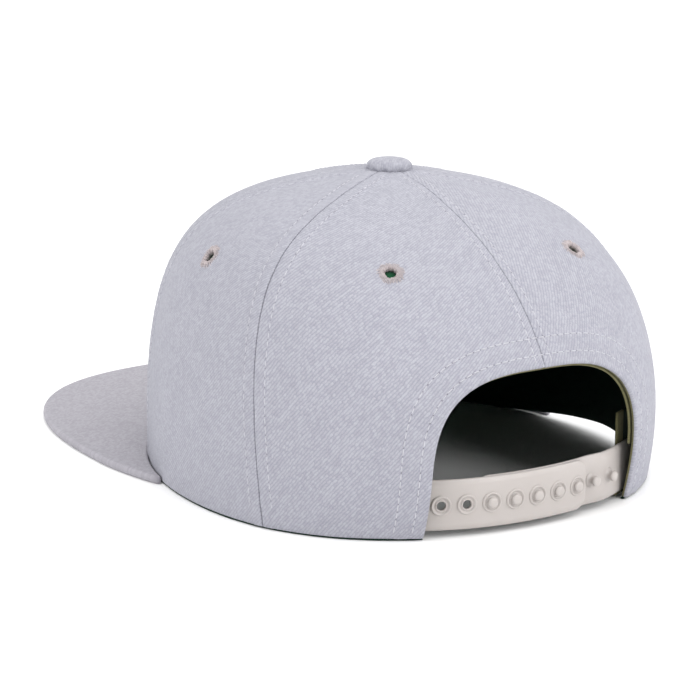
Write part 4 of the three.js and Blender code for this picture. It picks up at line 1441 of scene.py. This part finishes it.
# %% Moulded plastic
# Polyethylene from a smooth mould: a satin face with a broad soft highlight, and a little light that goes
# in and comes out again, which softens the shade round the pegs
moulded_plastic, tree, output = new_material("satin_moulded_polyethylene")
place = add(tree, "ShaderNodeTexCoord").outputs["Object"]
flow = soft_noise(tree, place, 12 * MM, 3.0)
grain = soft_noise(tree, place, 0.5 * MM, 3.0)
tint = add(tree, "ShaderNodeMix", {0: flow, 6: seen("#CDC5C1"), 7: seen("#D5CECA")}, data_type="RGBA")
gloss = add(tree, "ShaderNodeMapRange", {0: grain, 3: 0.36, 4: 0.5})
relief = add(tree, "ShaderNodeBump", {"Height": grain, "Strength": 0.12, "Distance": 0.08 * MM})
plastic_shader = add(
    tree,
    "ShaderNodeBsdfPrincipled",
    {
        "Base Color": tint.outputs[2],
        "Roughness": gloss.outputs[0],
        "Normal": relief.outputs[0],
        "IOR": 1.5,
        "Subsurface Weight": 0.06,
        "Subsurface Radius": (1.0, 0.8, 0.7),
        "Subsurface Scale": 0.6 * MM,
    },
)
tree.links.new(plastic_shader.outputs[0], output.inputs[0])

# %% The two halves
STRAP_ROLL = 0.55 * MM
STRAP_GRID_STEP = 0.6 * MM
BEVEL_DROP = 0.32 * MM
BEVEL_WIDTH = 1.3 * MM
RIM_SEAT_RADIUS = 2.9 * MM


def strap_half(name, replaced, tail, end, inset_at, holes):
    """A strap from its tail to its round-cornered free end, with round seats for the holes' rims."""
    towards_tail = math.copysign(1, tail - end)
    length, half_height = abs(tail - end), STRAP_HEIGHT / 2
    columns, rows = int(length / STRAP_GRID_STEP), 34
    start, stop = (tail, end) if towards_tail > 0 else (end, tail)

    def flat_place(q):
        along = start + (stop - start) * q[:, 0]
        return np.stack([along, (q[:, 1] * 2 - 1) * (half_height - STRAP_ROLL), np.zeros(len(q))], -1)

    def edge_distance(points):
        """How far inside the strap's outline a point lies, with the corners of the free end round."""
        from_end = (points[:, 0] - end) * towards_tail
        over = np.maximum(STRAP_CORNER - from_end, 0)
        out = np.maximum(np.abs(points[:, 1]) - (half_height - STRAP_CORNER), 0)
        corner = STRAP_CORNER - np.hypot(over, out)
        return np.minimum(corner, from_end)

    def keep(points):
        distance = edge_distance(points) - STRAP_ROLL
        for hole in holes:
            distance = np.minimum(distance, np.hypot(points[:, 0] - hole, points[:, 1]) - RIM_SEAT_RADIUS)
        return distance

    q, faces = clip_grid(columns, rows, flat_place, keep)
    flat = flat_place(q)
    inset = inset_at(flat[:, 0])
    bevel = BEVEL_DROP * (1 - smooth((edge_distance(flat) - STRAP_ROLL) / BEVEL_WIDTH))
    outer = strap_point(flat[:, 0], flat[:, 1], inset + bevel)
    inner = strap_point(flat[:, 0], flat[:, 1], inset + STRAP_WALL)
    piece = turned_wall(name, outer, inner, faces, flat[:, :2], STRAP_ROLL, [moulded_plastic])
    return finish_piece(piece, "strap_plastic", replaced)


hole_marks = FIRST_HOLE - HOLE_PITCH * np.arange(HOLE_COUNT)
peg_marks = FIRST_PEG - HOLE_PITCH * np.arange(HOLE_COUNT)
strap_half("moulded_strap_left", "strap_left", TAIL_ALONG, LEFT_STRAP_END, lambda a: 0 * a, hole_marks)
strap_half("moulded_strap_right", "strap_right", -TAIL_ALONG, RIGHT_STRAP_END, under_inset, [])

# %% Rims and pegs
RIM_PROFILE = in_mm(
    [
        (3.65, -0.5), (3.65, 0.12), (3.5, 0.38), (3.2, 0.46), (2.95, 0.36), (2.7, 0.0), (2.45, -0.14),
        (2.2, -0.02), (2.05, 0.28), (1.85, 0.36), (1.65, 0.2), (1.6, 0.0), (1.6, -1.25), (1.75, -1.4),
        (3.2, -1.4),
    ]
)
PEG_PROFILE = in_mm(
    [
        (0, -0.7), (2.7, -0.7), (2.75, 0.0), (2.2, 0.12), (1.7, 0.4), (1.4, 0.8), (1.35, 1.9), (1.8, 2.05),
        (1.93, 2.3), (1.9, 2.7), (1.75, 3.05), (1.4, 3.26), (0.8, 3.36), (0, 3.38),
    ]
)


def strap_axes(marks, inset):
    zero = np.zeros(len(marks))
    places = strap_point(marks, zero, inset)
    along = unit(strap_point(marks + 1e-4, zero, inset) - places)
    out = rim_outward(angle_along_strap(marks))
    return places, along, out


for name, profile, marks, inset in (
    ("strap_hole_rims", RIM_PROFILE, hole_marks, 0 * hole_marks),
    ("strap_pegs", PEG_PROFILE, peg_marks, under_inset(peg_marks)),
):
    points, faces = lathe(profile, 32)
    template = make_mesh(name + "_template", points, faces, [])
    places, along, out = strap_axes(marks, inset)
    finish_piece(set_copies(name, template, places, along, out, moulded_plastic), "strap_plastic")
    bpy.data.objects.remove(template)
for template in (stitch_template, needle_hole_template):
    bpy.data.objects.remove(template)

# %% [markdown]
# ## Inside: the sweatband and the facing
# A cotton band lines the rim, open at the arch, and a tape is sewn round the inside of the arch. Little
# of them shows from outside: a thin dark line under the crown's edge, where the band's fold comes down to
# the table, and the edge of the olive tape at the arch. Both follow the crown's rule, a wall's thickness
# further in.

# %% Sweatband
SWEATBAND_HEIGHT = 32 * MM
SWEATBAND_WALL = 1 * MM
SWEATBAND_LIFT = 0.6 * MM
CLOTH_GAP = 0.3 * MM
BINDING_WIDTH = 3.5 * MM
band_end, _ = crown_behind(np.array([ARCH_HALF_WIDTH + CLOTH_GAP]), np.array([0.0]))
tail_angle = float(angle_along_strap(np.array(TAIL_ALONG)))
ease_angle = tail_angle - math.radians(9)


def band_point(angle, height, depth):
    radius, _ = crown_shares(angle, up_at_height(angle, height))
    layer = LAYER_STEP * smooth((np.abs(angle) - ease_angle) / (tail_angle - math.radians(1) - ease_angle))
    point = rim_point(angle) * np.minimum(1, radius)[:, None]
    point = point - rim_outward(angle) * (CLOTH_WALL + CLOTH_GAP + layer + depth)[:, None]
    point[:, 1] += CROWN_CENTRE_Y
    point[:, 2] = height
    return point


def band_place(q):
    angle = (q[:, 0] * 2 - 1) * (band_end[0] - 0.004)
    low, high = SWEATBAND_LIFT + 0.4 * MM + drawn_up(angle), SWEATBAND_HEIGHT - 0.4 * MM
    return angle, low + (high - low) * q[:, 1]


q, faces = clip_grid(200, 12, lambda q: band_point(*band_place(q), np.zeros(len(q))), keep_all)
angle, height = band_place(q)
outer = band_point(angle, height, np.zeros(len(q)))
inner = band_point(angle, height, np.full(len(q), SWEATBAND_WALL))
band_uv = np.stack([angle * HALF_WIDTH, height], -1)
band_cloths = [green_band, green_band, olive_tape]
band = turned_wall("cotton_sweatband", outer, inner, faces, band_uv, 0.4 * MM, band_cloths)
for polygon in band.data.polygons:
    if polygon.center.y > CROWN_CENTRE_Y and abs(polygon.center.x) < ARCH_HALF_WIDTH + BINDING_WIDTH:
        polygon.material_index = 2
finish_piece(band, "sweatband_cotton", "sweatband")

fold_angles = np.linspace(-band_end[0], band_end[0], 260)
fold_line = rim_point(fold_angles) - rim_outward(fold_angles) * 1.15 * MM
fold_line += np.stack([0 * fold_angles, 0 * fold_angles + CROWN_CENTRE_Y, drawn_up(fold_angles)], -1)
fold_sections = []
for point, out in zip(fold_line, rim_outward(fold_angles)):
    turns = np.linspace(0, -math.tau, 10, endpoint=False)[:, None]
    oval = out * np.cos(turns) * 0.85 * MM + np.array([0, 0, 1]) * (np.sin(turns) * 0.3 * MM + 0.33 * MM)
    fold_sections.append(point + oval)
fold_points, fold_faces = sweep(fold_sections)
fold_uv = np.stack([np.repeat(fold_angles, 10) * HALF_WIDTH, np.tile(np.arange(10), 260) * 0.3 * MM], -1)
fold = make_mesh("sweatband_fold", fold_points, fold_faces, [green_band], None, fold_uv)
finish_piece(fold, "sweatband_cotton")

# %% Arch facing
FACING_WIDTH = 11 * MM
FACING_WALL = 0.9 * MM
FACING_GAP = 0.6 * MM
FACING_ROLL = 0.35 * MM
facing_bottom = STRAP_LIFT + STRAP_HEIGHT + 0.6 * MM
facing_top = float(up_at_height(math.pi, ARCH_HEIGHT + 1.5 * FACING_WIDTH))


def facing_place(q):
    return math.pi + (q[:, 0] * 2 - 1) * math.radians(42), q[:, 1] * facing_top


def facing_keep(points):
    margin = arch_margin(points)
    sideways = np.minimum(margin - FACING_ROLL, FACING_WIDTH - FACING_ROLL - margin)
    return np.minimum(sideways, points[:, 2] - facing_bottom - FACING_ROLL)


q, faces = clip_grid(150, 96, lambda q: crown_point(*facing_place(q)), facing_keep)
angle, up = facing_place(q)
base, normals = crown_point(angle, up), crown_normal(angle, up)
outer = base - normals * (CLOTH_WALL + FACING_GAP)
inner = outer - normals * FACING_WALL
facing_uv = np.stack([(angle - math.pi) * REAR_LENGTH, base[:, 2]], -1)
facing = turned_wall("cotton_arch_facing", outer, inner, faces, facing_uv, FACING_ROLL, [olive_tape])
finish_piece(facing, "facing_tape", "arch_facing")
